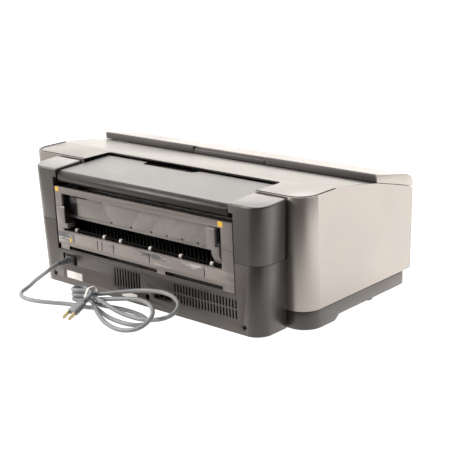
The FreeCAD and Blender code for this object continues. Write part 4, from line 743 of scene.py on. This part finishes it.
def lead_points():
    """The lead's route from the connector through its hank to the plug."""
    points = [spot(*place) for place in LEAD_ROUTE]
    waist_u, waist_d = HANK_WAIST
    for turn, (swing, reach_out, half, tilt, rise) in enumerate(HANK_LOBES):
        low = HANK_LOW + HANK_LAYER * turn
        heading, lean = math.radians(swing), math.radians(tilt)
        points.append(spot(waist_u, waist_d + (HANK_SIDE if turn == 0 else -HANK_LAYER / 2), low))
        for share, across in LOBE_SHAPE:
            across = -across * half
            flat = across * math.cos(lean)
            u = waist_u + share * reach_out * math.cos(heading) - flat * math.sin(heading)
            reach = waist_d + share * reach_out * math.sin(heading) + flat * math.cos(heading)
            points.append(spot(u, reach, low + rise * share**0.7 + across * math.sin(lean) * share**0.5))
        points.append(spot(waist_u, waist_d + HANK_LAYER / 2, low))
        for count, (back, across) in enumerate(BACK_SHAPE, start=1):
            climb = low + HANK_LAYER * count / (len(BACK_SHAPE) + 1)
            points.append(spot(waist_u + back, waist_d + across, climb))
    top = HANK_LOW + HANK_LAYER * len(HANK_LOBES)
    points += [spot(waist_u + u, waist_d + d, top + z) for u, d, z in HANK_TAIL]
    return points


def cord_sleeve(name, shade):
    """Soft PVC sleeve with a faint sheen and handling marks."""
    look = Finish(name)
    tree = look.tree
    rough = look.group("grain", Scale=900.0)
    body = tree.mix(rough["Variation"], tint(shade, 0.90), tint(shade, 1.10))
    grime = tree.spread(tree.noise(70.0, 4.0, 0.6), 0.52, 0.78, 0.0, 0.35)
    look.put("Base Color", tree.mix(grime, body, tint(shade, 0.62)))
    look.put("Roughness", look.group("smudge", Bright=0.34, Dull=0.52, Scale=60.0)["Roughness"])
    look.bump(rough["Height"], 0.10, 0.00004)
    return look.material


class PRINTER_OT_lead(bpy.types.Operator):
    """Lay the mains lead with its hank, tie, connector and plug"""

    bl_idname = "printer.lead"
    bl_label = "Mains lead"

    def execute(self, context):
        palette, size = colours(), sizes()
        sleeve = cord_sleeve("Lead sleeve", palette.cord_grey)
        grip = cord_sleeve("Lead mouldings", [c * 0.92 for c in palette.cord_grey])
        curve = bpy.data.curves.new("mains_lead", "CURVE")
        curve.dimensions = "3D"
        curve.bevel_depth = size.cord_diameter / 2
        curve.bevel_resolution = 5
        curve.resolution_u = 6
        curve.use_fill_caps = True
        line = curve.splines.new("NURBS")
        points = lead_points()
        line.points.add(len(points) - 1)
        for place, point in zip(points, line.points):
            point.co = (*place, 1.0)
        line.order_u = 3
        line.use_endpoint_u = True
        curve.materials.append(sleeve)
        lead = bpy.data.objects.new("mains_lead", curve)
        context.scene.collection.objects.link(lead)
        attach(lead, "case")
        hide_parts("power_cord", "cord_hank")

        paper = moulded("Tie paper", palette.tie_white, (0.55, 0.7), 600.0, 0.00006, 0.0, 0.0)
        tie = self.tie(paper)
        plug = self.plug(points[-1], grip, rolled_steel("Plug blades", (0.72, 0.62, 0.40)), size)
        connector = self.connector(points[0], grip, palette)
        return {"FINISHED"}

    def connector(self, start, grip, palette):
        """The lead's connector: a grey ringed relief, with the body in its well and the grooves painted
        darker as shade.
        """
        dark = cord_sleeve("Connector well painted shade", [c * 0.12 for c in palette.cord_grey])
        groove = cord_sleeve("Connector grooves painted shade", [c * 0.36 for c in palette.cord_grey])
        made = dress("mains_connector", 0.0002, "cord_grey", grip, dark, groove)
        # Faces behind the relief's start get the darkest copy, grooves and rings' sides a darker one: painted
        # shade.
        for face in made.data.polygons:
            off = math.hypot(face.center.x - start[0], face.center.z - start[2])
            on_shaded_side = face.normal.y < -0.5 or (face.normal.y > 0.5 and off < RELIEF_SIDE)
            in_shaded_groove = off < RELIEF_CORE or on_shaded_side
            face.material_index = 1 if face.center.y < RELIEF_START else 2 * int(in_shaded_groove)
        return made

    def tie(self, paper):
        """A paper-covered wire round the hank's waist, twisted on its near side, with two loose ends."""
        x = (REAR_X - HANK_WAIST[0]) * MM
        near, mid, far = HANK_WAIST[1] - 19.0, HANK_WAIST[1] - 6.5, HANK_WAIST[1] + 8.4
        high = HANK_LOW + HANK_LAYER * len(HANK_LOBES) + 4.4
        round_way = [(near, 3.2), (far - 3, 2.4), (far, 4.0), (far, high - 4)]
        round_way += [(far - 4, high), (mid, high), (near + 1, 12.5)]
        loop = [Vector((x, (HALF_DEPTH - reach) * MM, z * MM)) for reach, z in round_way]
        knot = loop[-1] + Vector((0.0, 0.0018, 0.0012))
        work = bmesh.new()

        def strip(path, sides, wide=1.9, thick=0.35):
            rows = []
            for place, (side, out) in zip(path, sides):
                crest = ((0.5 * wide, 1.7 * thick), (0.0, 2.2 * thick), (-0.5 * wide, 1.7 * thick))
                corners = ((wide, thick), *crest, (-wide, thick), (-wide, -thick), (wide, -thick))
                rows.append([work.verts.new(place + (side * a + out * b) * MM) for a, b in corners])
            skin(work, rows)

        across = Vector((1.0, 0.0, 0.0))
        path, sides = [], []
        count = 40
        for step in range(count + 1):
            share = step / count * (len(loop) - 1)
            low = min(int(share), len(loop) - 2)
            blend = share - low
            soft = blend * blend * (3 - 2 * blend)
            place = loop[low].lerp(loop[low + 1], soft)
            sway = math.sin(step * 0.9) * 0.5 * MM
            out = Vector((0.0, place.y - (HALF_DEPTH - HANK_WAIST[1] + 5) * MM, place.z - 0.016)).normalized()
            path.append(place + across * (sway + 0.002 * step / count - 0.001) + out * 0.0004)
            sides.append((across, out))
        path.append(knot)
        sides.append((across, Vector((0.0, 1.0, 0.3)).normalized()))
        strip(path, sides)
        for phase, ends in TIE_ENDS:
            path, sides = [], []
            for step in range(13):
                turn = phase + step * 0.62
                spin = Vector((math.cos(turn), 0.0, math.sin(turn)))
                path.append(knot + Vector((0.0, 0.0006 * step, -0.0001 * step)) + spin * 0.0007)
                sides.append((Vector((-math.sin(turn), 0.0, math.cos(turn))), spin))
            last = knot + Vector((0.0, 0.0072, -0.0012))
            for offset in ends:
                path.append(last + Vector(offset))
                sides.append((Vector((0.45, -0.3, 0.84)).normalized(), Vector((0.3, 0.95, 0.1)).normalized()))
            strip(path, sides, 1.5, 0.3)
        for vert in work.verts:
            vert.co.z = max(vert.co.z, TIE_LOWEST)
        bmesh.ops.recalc_face_normals(work, faces=work.faces)
        thing = piece("lead_tie", mesh_from("lead_tie", work, 50.0), "case", "tie_white", paper)
        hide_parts("cord_tie")
        return thing

    def plug(self, start, grip, metal, size):
        """The plug: tapered relief, ribbed grip and two blades, along the lead's end."""
        across = Vector((1.0, 0.0, 0.0))
        flat = across.cross(PLUG_WAY)
        work = bmesh.new()

        def ring(along, wide, tall, power, count=28):
            """A ring across the plug, round at power 1 and squarer below it."""
            loop = []
            for step in range(count):
                turn = 2 * math.pi * step / count
                c, s = math.cos(turn), math.sin(turn)
                x = math.copysign(abs(c) ** power, c) * wide
                y = math.copysign(abs(s) ** power, s) * tall
                loop.append(work.verts.new(start + PLUG_WAY * along * MM + (across * x + flat * y) * MM))
            return loop

        loops = [ring(0.0, 4.0, 4.0, 1.0)]
        for step in range(3):
            along = 1.2 + 2.7 * step
            swell = 4.2 + 0.2 * step
            loops += [ring(along, swell, swell, 1.0), ring(along + 1.3, swell, swell, 1.0)]
            neck = swell - 0.7
            loops += [ring(along + 1.5, neck, neck, 1.0), ring(along + 2.4, neck, neck, 1.0)]
        loops += [ring(9.6, 5.4, 4.1, 0.8), ring(11.4, 7.9, 4.6, 0.62)]
        pitch = size.rib_pitch / MM
        for step in range(size.rib_count):
            along = 12.4 + pitch * step
            loops += [ring(along, 8.7, 4.9, 0.5), ring(along + 0.9, 8.7, 4.9, 0.5)]
            loops += [ring(along + 1.1, 8.2, 4.7, 0.5), ring(along + 2.1, 8.2, 4.7, 0.5)]
        loops += [ring(30.4, 8.9, 5.0, 0.46), ring(33.4, 8.9, 5.0, 0.46), ring(34.0, 8.4, 4.6, 0.46)]
        skin(work, loops)
        for offset in BLADE_SIDES:
            blade = []
            for along, wide, tall in BLADE_SECTIONS:
                middle = start + (PLUG_WAY * along + across * offset) * MM
                corners = ((1, 1), (-1, 1), (-1, -1), (1, -1))
                steps = [(across * (sx * wide) + flat * (sz * tall)) * MM for sx, sz in corners]
                blade.append([work.verts.new(middle + step) for step in steps])
            for face in skin(work, blade):
                face.material_index = 1
        bmesh.ops.recalc_face_normals(work, faces=work.faces)
        mesh = mesh_from("mains_plug_body", work, 40.0)
        thing = piece("mains_plug_body", mesh, "case", "cord_grey", grip, metal)
        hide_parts("mains_plug")
        return thing


def lip_plastic(name, shade):
    """The transport unit's plastic, lighter along the lip under its window, with bluish scuffs there."""

    def base(tree):
        low = tree.spread(tree.part("Z"), 0.0905, 0.0925, 1.0, 0.0)
        strip = tree.math("MULTIPLY", low, tree.spread(tree.part("Z"), 0.0725, 0.0745))
        drift = tree.spread(tree.noise(11.0), 0.3, 0.7)
        plain = tree.mix(drift, tint(shade, 0.93), tint(shade, 1.07))
        # A strip along the lip is made lighter than the rest of the frame.
        paler = tree.mix(strip, plain, tint(shade, 1.35))
        rub = tree.spread(tree.noise(34.0, 6.0, 0.66, (0.32, 1.0, 1.6)), 0.53, 0.57)
        band = tree.spread(tree.noise(7.0, 2.0), 0.44, 0.54)
        mark = tree.math("MULTIPLY", tree.math("MULTIPLY", rub, band), tree.math("MULTIPLY", strip, 0.9))
        scuffed = tree.mix(mark, paler, (0.040, 0.050, 0.062, 1.0))
        fleck = tree.spread(tree.noise(52.0, 6.0, 0.7, (0.25, 1.0, 2.2)), 0.60, 0.63)
        flecked = tree.math("MULTIPLY", tree.math("MULTIPLY", fleck, band), strip)
        return tree.mix(flecked, scuffed, (0.42, 0.43, 0.44, 1.0))

    return moulded(name, shade, (0.26, 0.40), 1100.0, 0.00005, 0.4, 0.08, 0.25, base)


def plate_plastic(name, shade):
    """The plate in the window: vertical streaks painted as reflections, and blotches, with black ends."""

    def base(tree):
        across = tree.part("X")
        far_end = tree.spread(across, -0.1645, -0.1640, 1.0, 0.0)
        ends = tree.math("ADD", far_end, tree.spread(across, 0.1305, 0.1310), True)
        # Faint vertical streaks in the colour: painted reflection.
        reflection_streak = tree.spread(tree.noise(30.0, 4.0, 0.6, (3.0, 1.0, 0.25)), 0.3, 0.7)
        plain = tree.mix(reflection_streak, tint(shade, 0.95), tint(shade, 1.05))
        blotch = tree.spread(tree.noise(13.0, 3.0, 0.5, (0.6, 1.0, 1.2)), 0.46, 0.62, 0.0, 0.45)
        plain = tree.mix(blotch, plain, tint(shade, 0.55))
        return tree.mix(ends, plain, (0.004, 0.004, 0.004, 1.0))

    return moulded(name, shade, (0.25, 0.31), 700.0, 0.00003, 0.3, 0.0, 0.3, base)


# Section of the black bead round the cover, a painted shadow line along its joint: outwards from the cover's
# edge and upwards, in mm.
BEAD = ((0.12, -1.0), (0.12, 0.75), (0.30, 1.05), (0.90, 1.05), (1.15, 0.75), (1.15, -1.0), (0.12, -1.0))

# Upright grooves across the unit's lip, painted black inside as shade, their half width and their heights, in
# mm.
LIP_GROOVES = (-154.0, -97.0, -86.5, -60.0, 20.0, 134.5)
GROOVE_HALF = 0.95
GROOVE_HEIGHTS = (74.2, 89.8)
# Heights of the slots under the lip, painted black inside as shade, and how far out they reach, in mm.
SLOT_HEIGHTS = (61.7, 68.3)
SLOT_REACH = 172.0
# What lies in front of this, in metres, is inside a groove or slot of the unit.
UNIT_FACE = 0.1622

# Fine black screens behind the vents, put there as painted shade, as (name, u low, u high), and the vents'
# heights, in mm.
VENT_SHADE_SCREENS = (("vent_shade_screen_left", -64.0, -1.0), ("vent_shade_screen_right", 69.0, 199.0))
VENT_HEIGHTS = (23.0, 53.0)
VENT_MARGIN = 2.0
# The lid's rolled rear edge, painted darker as shade, starts here, in metres.
LID_ROLL_SHADE = 0.138


def rear_faces(thing):
    """Each face of a piece with its middle's offset across the rear and its height, in mm."""
    for face in thing.data.polygons:
        yield face, REAR_X - face.center.x / MM, face.center.z / MM


class PRINTER_OT_shells(bpy.types.Operator):
    """Round the edges of the case shells and give them their plastics and paint"""

    bl_idname = "printer.shells"
    bl_label = "Case shells"

    def execute(self, context):
        palette, size = colours(), sizes()
        silver = silver_paint("Silver paint", palette.silver)
        satin, walled = (0.36, 0.46), (0.34, 0.46)
        rear_look = {"dust": 0.04, "coat": 0.55, "sheen": 0.85, "level": 0.42}
        lid_look = {"dust": 0.03, "coat": 0.5, "sheen": 0.6, "level": 0.45}
        wall_look = {"dust": 0.03, "coat": 0.45, "sheen": 0.1, "level": 0.55}
        rear = moulded("Rear housing plastic", palette.rear_grey, satin, **rear_look)
        walls = moulded("Rear wall plastic", palette.rear_grey, walled, **wall_look)
        lid = moulded("Feed lid plastic", palette.lid_grey, satin, **lid_look)
        # The lid's rolled rear edge gets its plastic at half the colour: painted shade.
        roll = moulded("Lid roll painted shade", [0.5 * c for c in palette.lid_grey], (0.30, 0.40), level=0.35)
        unit = lip_plastic("Transport unit plastic", palette.unit_grey)
        plate_look = plate_plastic("Unit plate", palette.plate_grey)
        band = moulded("Door band", palette.band_grey, (0.48, 0.60), 900.0, 0.00008, level=0.25)
        pale = moulded("Pale plastic", palette.inner_pale, (0.38, 0.5), 1200.0, 0.00003, 0.1, 0.05)
        latch = moulded("Latch plastic", palette.latch_grey, (0.28, 0.42), 1200.0, 0.00003, 0.7, 0.05, 0.2)
        # The black of the paper path, also used as painted shade on the cover's edges, its bead, the vents'
        # walls and the unit's grooves and slots.
        black = moulded("Black inner plastic and painted shade", palette.inner_black, (0.34, 0.48), 1300.0, 0.00004, 0.25, 0.02)
        for node in ("left_side_panel", "right_side_panel", "door_shell"):
            dress(node, size.shell_round, "silver_case", silver)
        cover = dress("top_cover", size.shell_round * 1.3, "silver_case", silver, black)
        # The cover's steep edge faces take the black plastic: painted shade in the joint round it.
        for face in cover.data.polygons:
            face.material_index = int(abs(face.normal.z) < 0.86)
        # A black bead along the cover's joint: painted shadow line.
        self.shadow_bead(black)
        posts = dress("rear_upper_case", size.shell_round, "dark_case", walls, rear)
        for face in posts.data.polygons:
            face.material_index = int(face.normal.z > 0.72)
        for node in ("base_tray", "front_fascia", "cassette"):
            dress(node, size.shell_round, "dark_case", walls)
        lower = dress("rear_lower_case", size.fine_round, "dark_case", walls, black)
        # The walls inside the vents take the black plastic: painted shade.
        for face, u, z in rear_faces(lower):
            beside = any(low - VENT_MARGIN < u < high + VENT_MARGIN for _, low, high in VENT_SHADE_SCREENS)
            in_vent_shade = beside and VENT_HEIGHTS[0] < z < VENT_HEIGHTS[1]
            face.material_index = int(in_vent_shade and abs(face.normal.y) < 0.6)
        cover_lid = dress("rear_lid", size.shell_round, "grey_lid", lid, roll)
        # Faces of the rolled rear edge, facing back and down, take the darker copy: painted shade.
        for face in cover_lid.data.polygons:
            face.material_index = int(face.normal.y > 0.36 and face.center.y > LID_ROLL_SHADE)
        window_frame = dress("transport_frame", size.fine_round * 1.6, "unit_grey", unit, black)
        # Faces inside the lip's grooves and the slots under it take the black plastic: painted shade.
        for face, u, z in rear_faces(window_frame):
            at_groove = any(abs(u - groove) < GROOVE_HALF for groove in LIP_GROOVES)
            in_shaded_groove = at_groove and GROOVE_HEIGHTS[0] < z < GROOVE_HEIGHTS[1]
            in_shaded_slot = SLOT_HEIGHTS[0] < z < SLOT_HEIGHTS[1] and abs(u) < SLOT_REACH
            face.material_index = int((in_shaded_groove or in_shaded_slot) and face.center.y < UNIT_FACE)
        dress("transport_plate", size.fine_round, "unit_grey", plate_look)
        for node in ("door_band", "door_handle", "control_panel"):
            dress(node, size.fine_round * 1.4, "dark_case", band)
        for node in ("power_key", "resume_key"):
            dress(node, size.fine_round, "pale_inner", pale)
        for node in ("latch_left", "latch_right", "transport_bar"):
            dress(node, size.fine_round * 1.6, SLOT_OF[node], latch)
        cover_with(black, "transport_guide", "rear_feed_tray", "edge_guide_left", "edge_guide_right")
        cover_with(black, "pinch_holder", "platen", "carriage", "mains_inlet", "port_sockets")
        cover_with(pale, "purge_unit", "idler_pulley", "drive_pulley", "feed_motor_pulley", "pinch_rollers")
        return {"FINISHED"}

    def shadow_bead(self, black):
        """A black bead on the side panels' rim, along the joint round the top cover: a painted shadow line.
        """
        work = merged("top_cover")
        low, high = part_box("rear_lid")
        joint = bmesh.new()
        for edge in work.edges:
            if len(edge.link_faces) != 2:
                continue
            top, side = sorted(edge.link_faces, key=lambda face: -face.normal.z)
            middle = (edge.verts[0].co + edge.verts[1].co) / 2
            in_bay = low.x - 0.004 < middle.x < high.x + 0.004
            if top.normal.z < 0.995 or abs(side.normal.z) > 0.3 or in_bay or side.normal.y < -0.3:
                continue
            corners = []
            for vert in edge.verts:
                away = Vector((0.0, 0.0, 0.0))
                for face in vert.link_faces:
                    if abs(face.normal.z) < 0.3:
                        away += face.normal * face.calc_area()
                away.z = 0.0
                away.normalize()
                corners.append([vert.co + away * (out * MM) + Vector((0, 0, up * MM)) for out, up in BEAD])
            rows = [[joint.verts.new(place) for place in row] for row in corners]
            for index in range(len(BEAD) - 1):
                joint.faces.new((rows[0][index], rows[0][index + 1], rows[1][index + 1], rows[1][index]))
        work.free()
        bmesh.ops.remove_doubles(joint, verts=joint.verts, dist=2e-5)
        bmesh.ops.holes_fill(joint, edges=joint.edges, sides=len(BEAD) + 1)
        bmesh.ops.recalc_face_normals(joint, faces=joint.faces)
        piece("cover_shadow_bead", mesh_from("cover_shadow_bead", joint, 60.0), "case", "black_inner", black)


def tyres(name, shade, steel, centre, radius):
    """Rollers of one colour on a steel shaft, told apart by their distance from its line."""

    def base(tree):
        y = tree.math("SUBTRACT", tree.part("Y"), centre[0])
        z = tree.math("SUBTRACT", tree.part("Z"), centre[1])
        away = tree.math("SQRT", tree.math("ADD", tree.math("MULTIPLY", y, y), tree.math("MULTIPLY", z, z)))
        worn = tree.mix(tree.spread(tree.noise(400.0, 4.0), 0.35, 0.7), tint(shade, 0.86), tint(shade, 1.05))
        return tree.mix(tree.spread(away, radius - 0.0002, radius), tint(steel, 0.55), worn)

    return moulded(name, shade, (0.55, 0.70), 1300.0, 0.00004, 0.1, 0.0, base=base)


# Shells of the ink tanks from the left: two blacks, yellow, magenta and cyan.
INK_SHADES = (
    (0.02, 0.02, 0.02),
    (0.03, 0.03, 0.035),
    (0.55, 0.40, 0.02),
    (0.42, 0.02, 0.12),
    (0.01, 0.16, 0.36),
)


def ink_colours(name, low, pitch):
    """Tanks in a row, each with its own coloured shell."""

    def base(tree):
        mixed = tint(INK_SHADES[0], 1.0)
        x = tree.part("X")
        for number, shade in enumerate(INK_SHADES[1:], start=1):
            edge = low + pitch * number
            mixed = tree.mix(tree.spread(x, edge - 0.0001, edge + 0.0001), mixed, tint(shade, 1.0))
        return mixed

    return moulded(name, INK_SHADES[1], (0.25, 0.4), 900.0, 0.00003, 0.1, 0.0, base=base)


def board_lacquer(name, shade):
    """Circuit board: green lacquer over squared copper runs."""

    def base(tree):
        brick = tree.add("ShaderNodeTexBrick")
        turn = tree.add("ShaderNodeMapping")
        tree.feed(turn.inputs["Vector"], tree.add("ShaderNodeTexCoord").outputs["Object"])
        turn.inputs["Rotation"].default_value = (math.radians(90), 0.0, 0.0)
        tree.feed(brick.inputs["Vector"], turn.outputs["Vector"])
        brick.inputs["Scale"].default_value = 90.0
        brick.inputs["Color1"].default_value = tint(shade, 0.8)
        brick.inputs["Color2"].default_value = tint(shade, 1.2)
        brick.inputs["Mortar"].default_value = tint(shade, 1.9)
        return brick.outputs["Color"]

    return moulded(name, shade, (0.22, 0.32), 1800.0, 0.00002, 0.0, 0.0, base=base)


def felt(name, shade):
    """Absorbent felt: matted fibres."""
    look = Finish(name)
    tree = look.tree
    fibres = tree.noise(900.0, 6.0, 0.75)
    look.put("Base Color", tree.mix(tree.spread(fibres, 0.3, 0.7), tint(shade, 0.82), tint(shade, 1.05)))
    look.put("Roughness", tree.spread(fibres, 0.3, 0.7, 0.85, 0.98))
    look.put("Sheen Weight", 0.35)
    look.bump(fibres, 0.6, 0.0004)
    return look.material


def rubber(name, shade):
    """Matte rubber with a dusty bloom."""
    look = Finish(name)
    tree = look.tree
    rough = look.group("grain", Scale=800.0)
    body = tree.mix(rough["Variation"], tint(shade, 0.85), tint(shade, 1.3))
    look.put("Base Color", tree.mix(look.group("dust", Amount=0.3)["Mask"], body, (0.30, 0.30, 0.29, 1.0)))
    look.put("Roughness", look.group("smudge", Bright=0.6, Dull=0.8, Scale=40.0)["Roughness"])
    look.bump(rough["Height"], 0.25, 0.00008)
    return look.material


# In metres: what lies further than this from the shaft's line is a roller, and the least room between two.
SHAFT_LIMIT, ROLLER_GAP = 0.0027, 0.012
# Outline of a domed roller, as shares of its half length and radius.
DOME_SIDE = ((-1.0, 0.70), (-0.85, 0.90), (-0.5, 0.985))
ROLLER_DOME = DOME_SIDE + ((0.0, 1.0),) + tuple((-share, swell) for share, swell in reversed(DOME_SIDE))


class PRINTER_OT_mechanism(bpy.types.Operator):
    """Give the rollers, rails, motors, tanks and boards inside their finishes"""

    bl_idname = "printer.mechanism"
    bl_label = "Mechanism"

    def execute(self, context):
        palette = colours()
        steel = rolled_steel("Plated steel", palette.steel)
        dark_rubber = rubber("Dark rubber", (0.028, 0.028, 0.029))
        cover_with(steel, "side_frame_left", "side_frame_right", "rail_frame", "carriage_rail", "print_head")
        cover_with(steel, "carriage_motor", "feed_motor", "power_supply")
        cover_with(dark_rubber, "rubber_feet", "carriage_belt", "feed_belt")
        low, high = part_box("ink_tanks")
        cover_with(ink_colours("Ink tanks", low.x, (high.x - low.x) / len(INK_SHADES)), "ink_tanks")
        self.window_rollers()
        for node, shade, radius in (
            ("feed_roller", (0.10, 0.10, 0.10), 0.0062),
            ("exit_roller", (0.04, 0.04, 0.04), 0.0043),
        ):
            low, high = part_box(node)
            centre = ((low.y + high.y) / 2, (low.z + high.z) / 2)
            cover_with(tyres(node + "_finish", shade, palette.steel, centre, radius), node)
        cover_with(board_lacquer("Board lacquer", palette.board_green), "main_board")
        cover_with(felt("Waste felt", (0.74, 0.73, 0.69)), "waste_pad")
        return {"FINISHED"}

    def window_rollers(self):
        """Small domed rollers on the unit's shaft, which is painted black as shade behind the lip."""
        node = "transport_rollers"
        low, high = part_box(node)
        line_y, line_z = (low.y + high.y) / 2, (low.z + high.z) / 2
        work = merged(node)
        spread = [vert.co.x for vert in work.verts]
        wide = set()
        for vert in work.verts:
            if math.hypot(vert.co.y - line_y, vert.co.z - line_z) > SHAFT_LIMIT:
                wide.add(round(vert.co.x, 4))
        work.free()
        groups = []
        for x in sorted(wide):
            if groups and x - groups[-1][-1] < ROLLER_GAP:
                groups[-1].append(x)
            else:
                groups.append([x])
        tyre = moulded("Roller tyre", (0.60, 0.58, 0.56), (0.55, 0.70), 1300.0, 0.00004, 0.1, 0.0)
        # The shaft is near black and dull: painted shade behind the unit's lip.
        shaft_shade = (0.004, 0.004, 0.004)
        shaft = moulded("Shaft painted shade", shaft_shade, (0.75, 0.88), 1300.0, 0.00002, 0.0, 0.0, level=0.1)
        made = bmesh.new()
        turns = [2 * math.pi * step / 24 for step in range(24)]

        def lathe(profile, finish):
            rows = []
            for x, r in profile:
                ring = [(x, line_y + r * math.cos(t), line_z + r * math.sin(t)) for t in turns]
                rows.append([made.verts.new(place) for place in ring])
            for face in skin(made, rows):
                face.material_index = finish

        start, end = min(spread), max(spread)
        lathe([(start, 0.0019), (start + 0.0005, 0.0022), (end - 0.0005, 0.0022), (end, 0.0019)], 1)
        radius = (high.z - low.z) / 2 * 0.78
        for group in groups:
            middle, half = (group[0] + group[-1]) / 2, (group[-1] - group[0]) * 0.36
            lathe([(middle + half * share, radius * swell) for share, swell in ROLLER_DOME], 0)
        bmesh.ops.recalc_face_normals(made, faces=made.faces)
        mesh = mesh_from("window_rollers", made, 40.0)
        thing = piece("window_rollers", mesh, BODY_OF[node], SLOT_OF[node], tyre, shaft)
        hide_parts(node)


# Places of the rear screws across and up and how deep they sit, in mm, and their head and shank, in metres.
SCREW_SPOTS = ((185.5, 15.0), (-230.5, 13.4))
SCREW_DEPTH = 1.7
SCREW_RISE, SCREW_SHANK = 0.0014, 0.0093
# Ribs of the vent screens: pitch and depth in the case in mm, size and height of their middle in metres.
SCREEN_PITCH, SCREEN_DEPTH = 2.05, 4.4
SCREEN_RIB, SCREEN_MIDDLE = (0.0021, 0.0006, 0.037), 0.038

# Plain yellow marks and blank paper on the rear: name, node, u low, u high, z low, z high in mm, kind.
FILMS = (
    ("marker_left", "transport_frame", -191.2, -183.2, 157.4, 164.9, "yellow"),
    ("marker_right", "transport_frame", 165.0, 174.6, 156.8, 164.9, "yellow"),
    ("marker_low", "transport_frame", -164.4, -160.4, 76.0, 82.0, "yellow"),
    ("rating_film", "rear_lower_case", -186.0, -66.0, 12.0, 37.0, "grey"),
    ("sticker_left", "rating_film", -177.5, -140.0, 13.0, 25.5, "white"),
    ("sticker_low", "rear_lower_case", -46.0, -12.0, 8.6, 16.6, "white"),
)


FILM_CORNER = 0.0008


def paper_film(name, shade, gloss=(0.42, 0.55)):
    """Film or paper, a little yellowed."""
    return moulded(name, shade, gloss, 700.0, 0.00003, 0.0, 0.0)


class PRINTER_OT_films(bpy.types.Operator):
    """Lay the plain marks and blank stickers on the rear"""

    bl_idname = "printer.films"
    bl_label = "Marks and stickers"

    def execute(self, context):
        palette, size = colours(), sizes()
        film_grey = [1.25 * c for c in palette.rear_grey]
        looks = {
            "yellow": (paper_film("Marker film", palette.marker_yellow), "pale_inner"),
            "white": (paper_film("Sticker paper", palette.sticker_white), "pale_inner"),
            "grey": (paper_film("Rating film", film_grey, (0.24, 0.34)), "dark_case"),
        }
        seats = {}
        for name, node, u_low, u_high, z_low, z_high, kind in FILMS:
            middle = ((REAR_X - (u_low + u_high) / 2) * MM, (z_low + z_high) / 2 * MM)
            wide, tall = (u_high - u_low) * MM, (z_high - z_low) * MM
            body, seat = seats.get(node) or (BODY_OF[node], rear_surface(node, *middle))
            seats[name] = (body, seat + size.film)
            mesh = plate(name, middle, wide, tall, size.film, FILM_CORNER, seat)
            piece(name, mesh, body, looks[kind][1], looks[kind][0])
        return {"FINISHED"}


class PRINTER_OT_repeats(bpy.types.Operator):
    """Grow the screws, the ribs and the vent screens"""

    bl_idname = "printer.repeats"
    bl_label = "Screws, ribs and screens"

    def execute(self, context):
        palette, size = colours(), sizes()
        dark_steel = rolled_steel("Blackened steel", (0.06, 0.06, 0.062), (0.34, 0.48))
        values = {"Head radius": size.screw_radius, "Head height": SCREW_RISE, "Shank length": SCREW_SHANK}
        screws = growth(
            "Cross-head screws", [(label, "Float", value) for label, value in values.items()], fill_screws
        )
        seats = [(x * MM, (HALF_DEPTH - SCREW_DEPTH) * MM, z * MM) for x, z in SCREW_SPOTS]
        heads = grow("case_screw_heads", screws, seats, dark_steel, "case", "steel", **values)
        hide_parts("case_screws")
        ribs = growth(
            "Row of ribs",
            [("Count", "Int", 12), ("Pitch", "Float", 0.01), ("Rib size", "Vector", (0.001, 0.001, 0.001))],
            fill_ribs,
        )
        # Black ribbed sheets behind the vents: painted shade.
        black = moulded("Vent screen painted shade", palette.inner_black, (0.6, 0.75), 900.0, 0.00005, 0.0, 0.0)
        for name, u_low, u_high in VENT_SHADE_SCREENS:
            count = int((u_high - u_low) / SCREEN_PITCH)
            first = ((REAR_X - u_high) * MM, (HALF_DEPTH - SCREEN_DEPTH) * MM, SCREEN_MIDDLE)
            values = {"Count": count, "Pitch": SCREEN_PITCH * MM, "Rib size": SCREEN_RIB}
            grow(name, ribs, [first], black, "case", "black_inner", **values)
        return {"FINISHED"}


STEPS = (
    PRINTER_OT_stage,
    PRINTER_OT_lead,
    PRINTER_OT_shells,
    PRINTER_OT_mechanism,
    PRINTER_OT_repeats,
    PRINTER_OT_films,
)


class PRINTER_PT_panel(bpy.types.Panel):
    """Lists the printer's steps with their sizes and colours"""

    bl_label = "Printer"
    bl_idname = "PRINTER_PT_panel"
    bl_space_type = "VIEW_3D"
    bl_region_type = "UI"
    bl_category = "Printer"

    def draw(self, context):
        for step in STEPS:
            self.layout.operator(step.bl_idname)
        for group in (context.scene.printer_sizes, context.scene.printer_colours):
            box = self.layout.box()
            for name in group.__annotations__:
                box.prop(group, name)


CLASSES = (PrinterColours, PrinterSizes, *STEPS, PRINTER_PT_panel)


def register():
    for item in CLASSES:
        bpy.utils.register_class(item)
    bpy.types.Scene.printer_colours = PointerProperty(type=PrinterColours)
    bpy.types.Scene.printer_sizes = PointerProperty(type=PrinterSizes)


def unregister():
    del bpy.types.Scene.printer_sizes
    del bpy.types.Scene.printer_colours
    for item in reversed(CLASSES):
        bpy.utils.unregister_class(item)


def main():
    register()
    for step in STEPS:
        group, action = step.bl_idname.split(".")
        getattr(getattr(bpy.ops, group), action)()


if __name__ == "__main__":
    main()
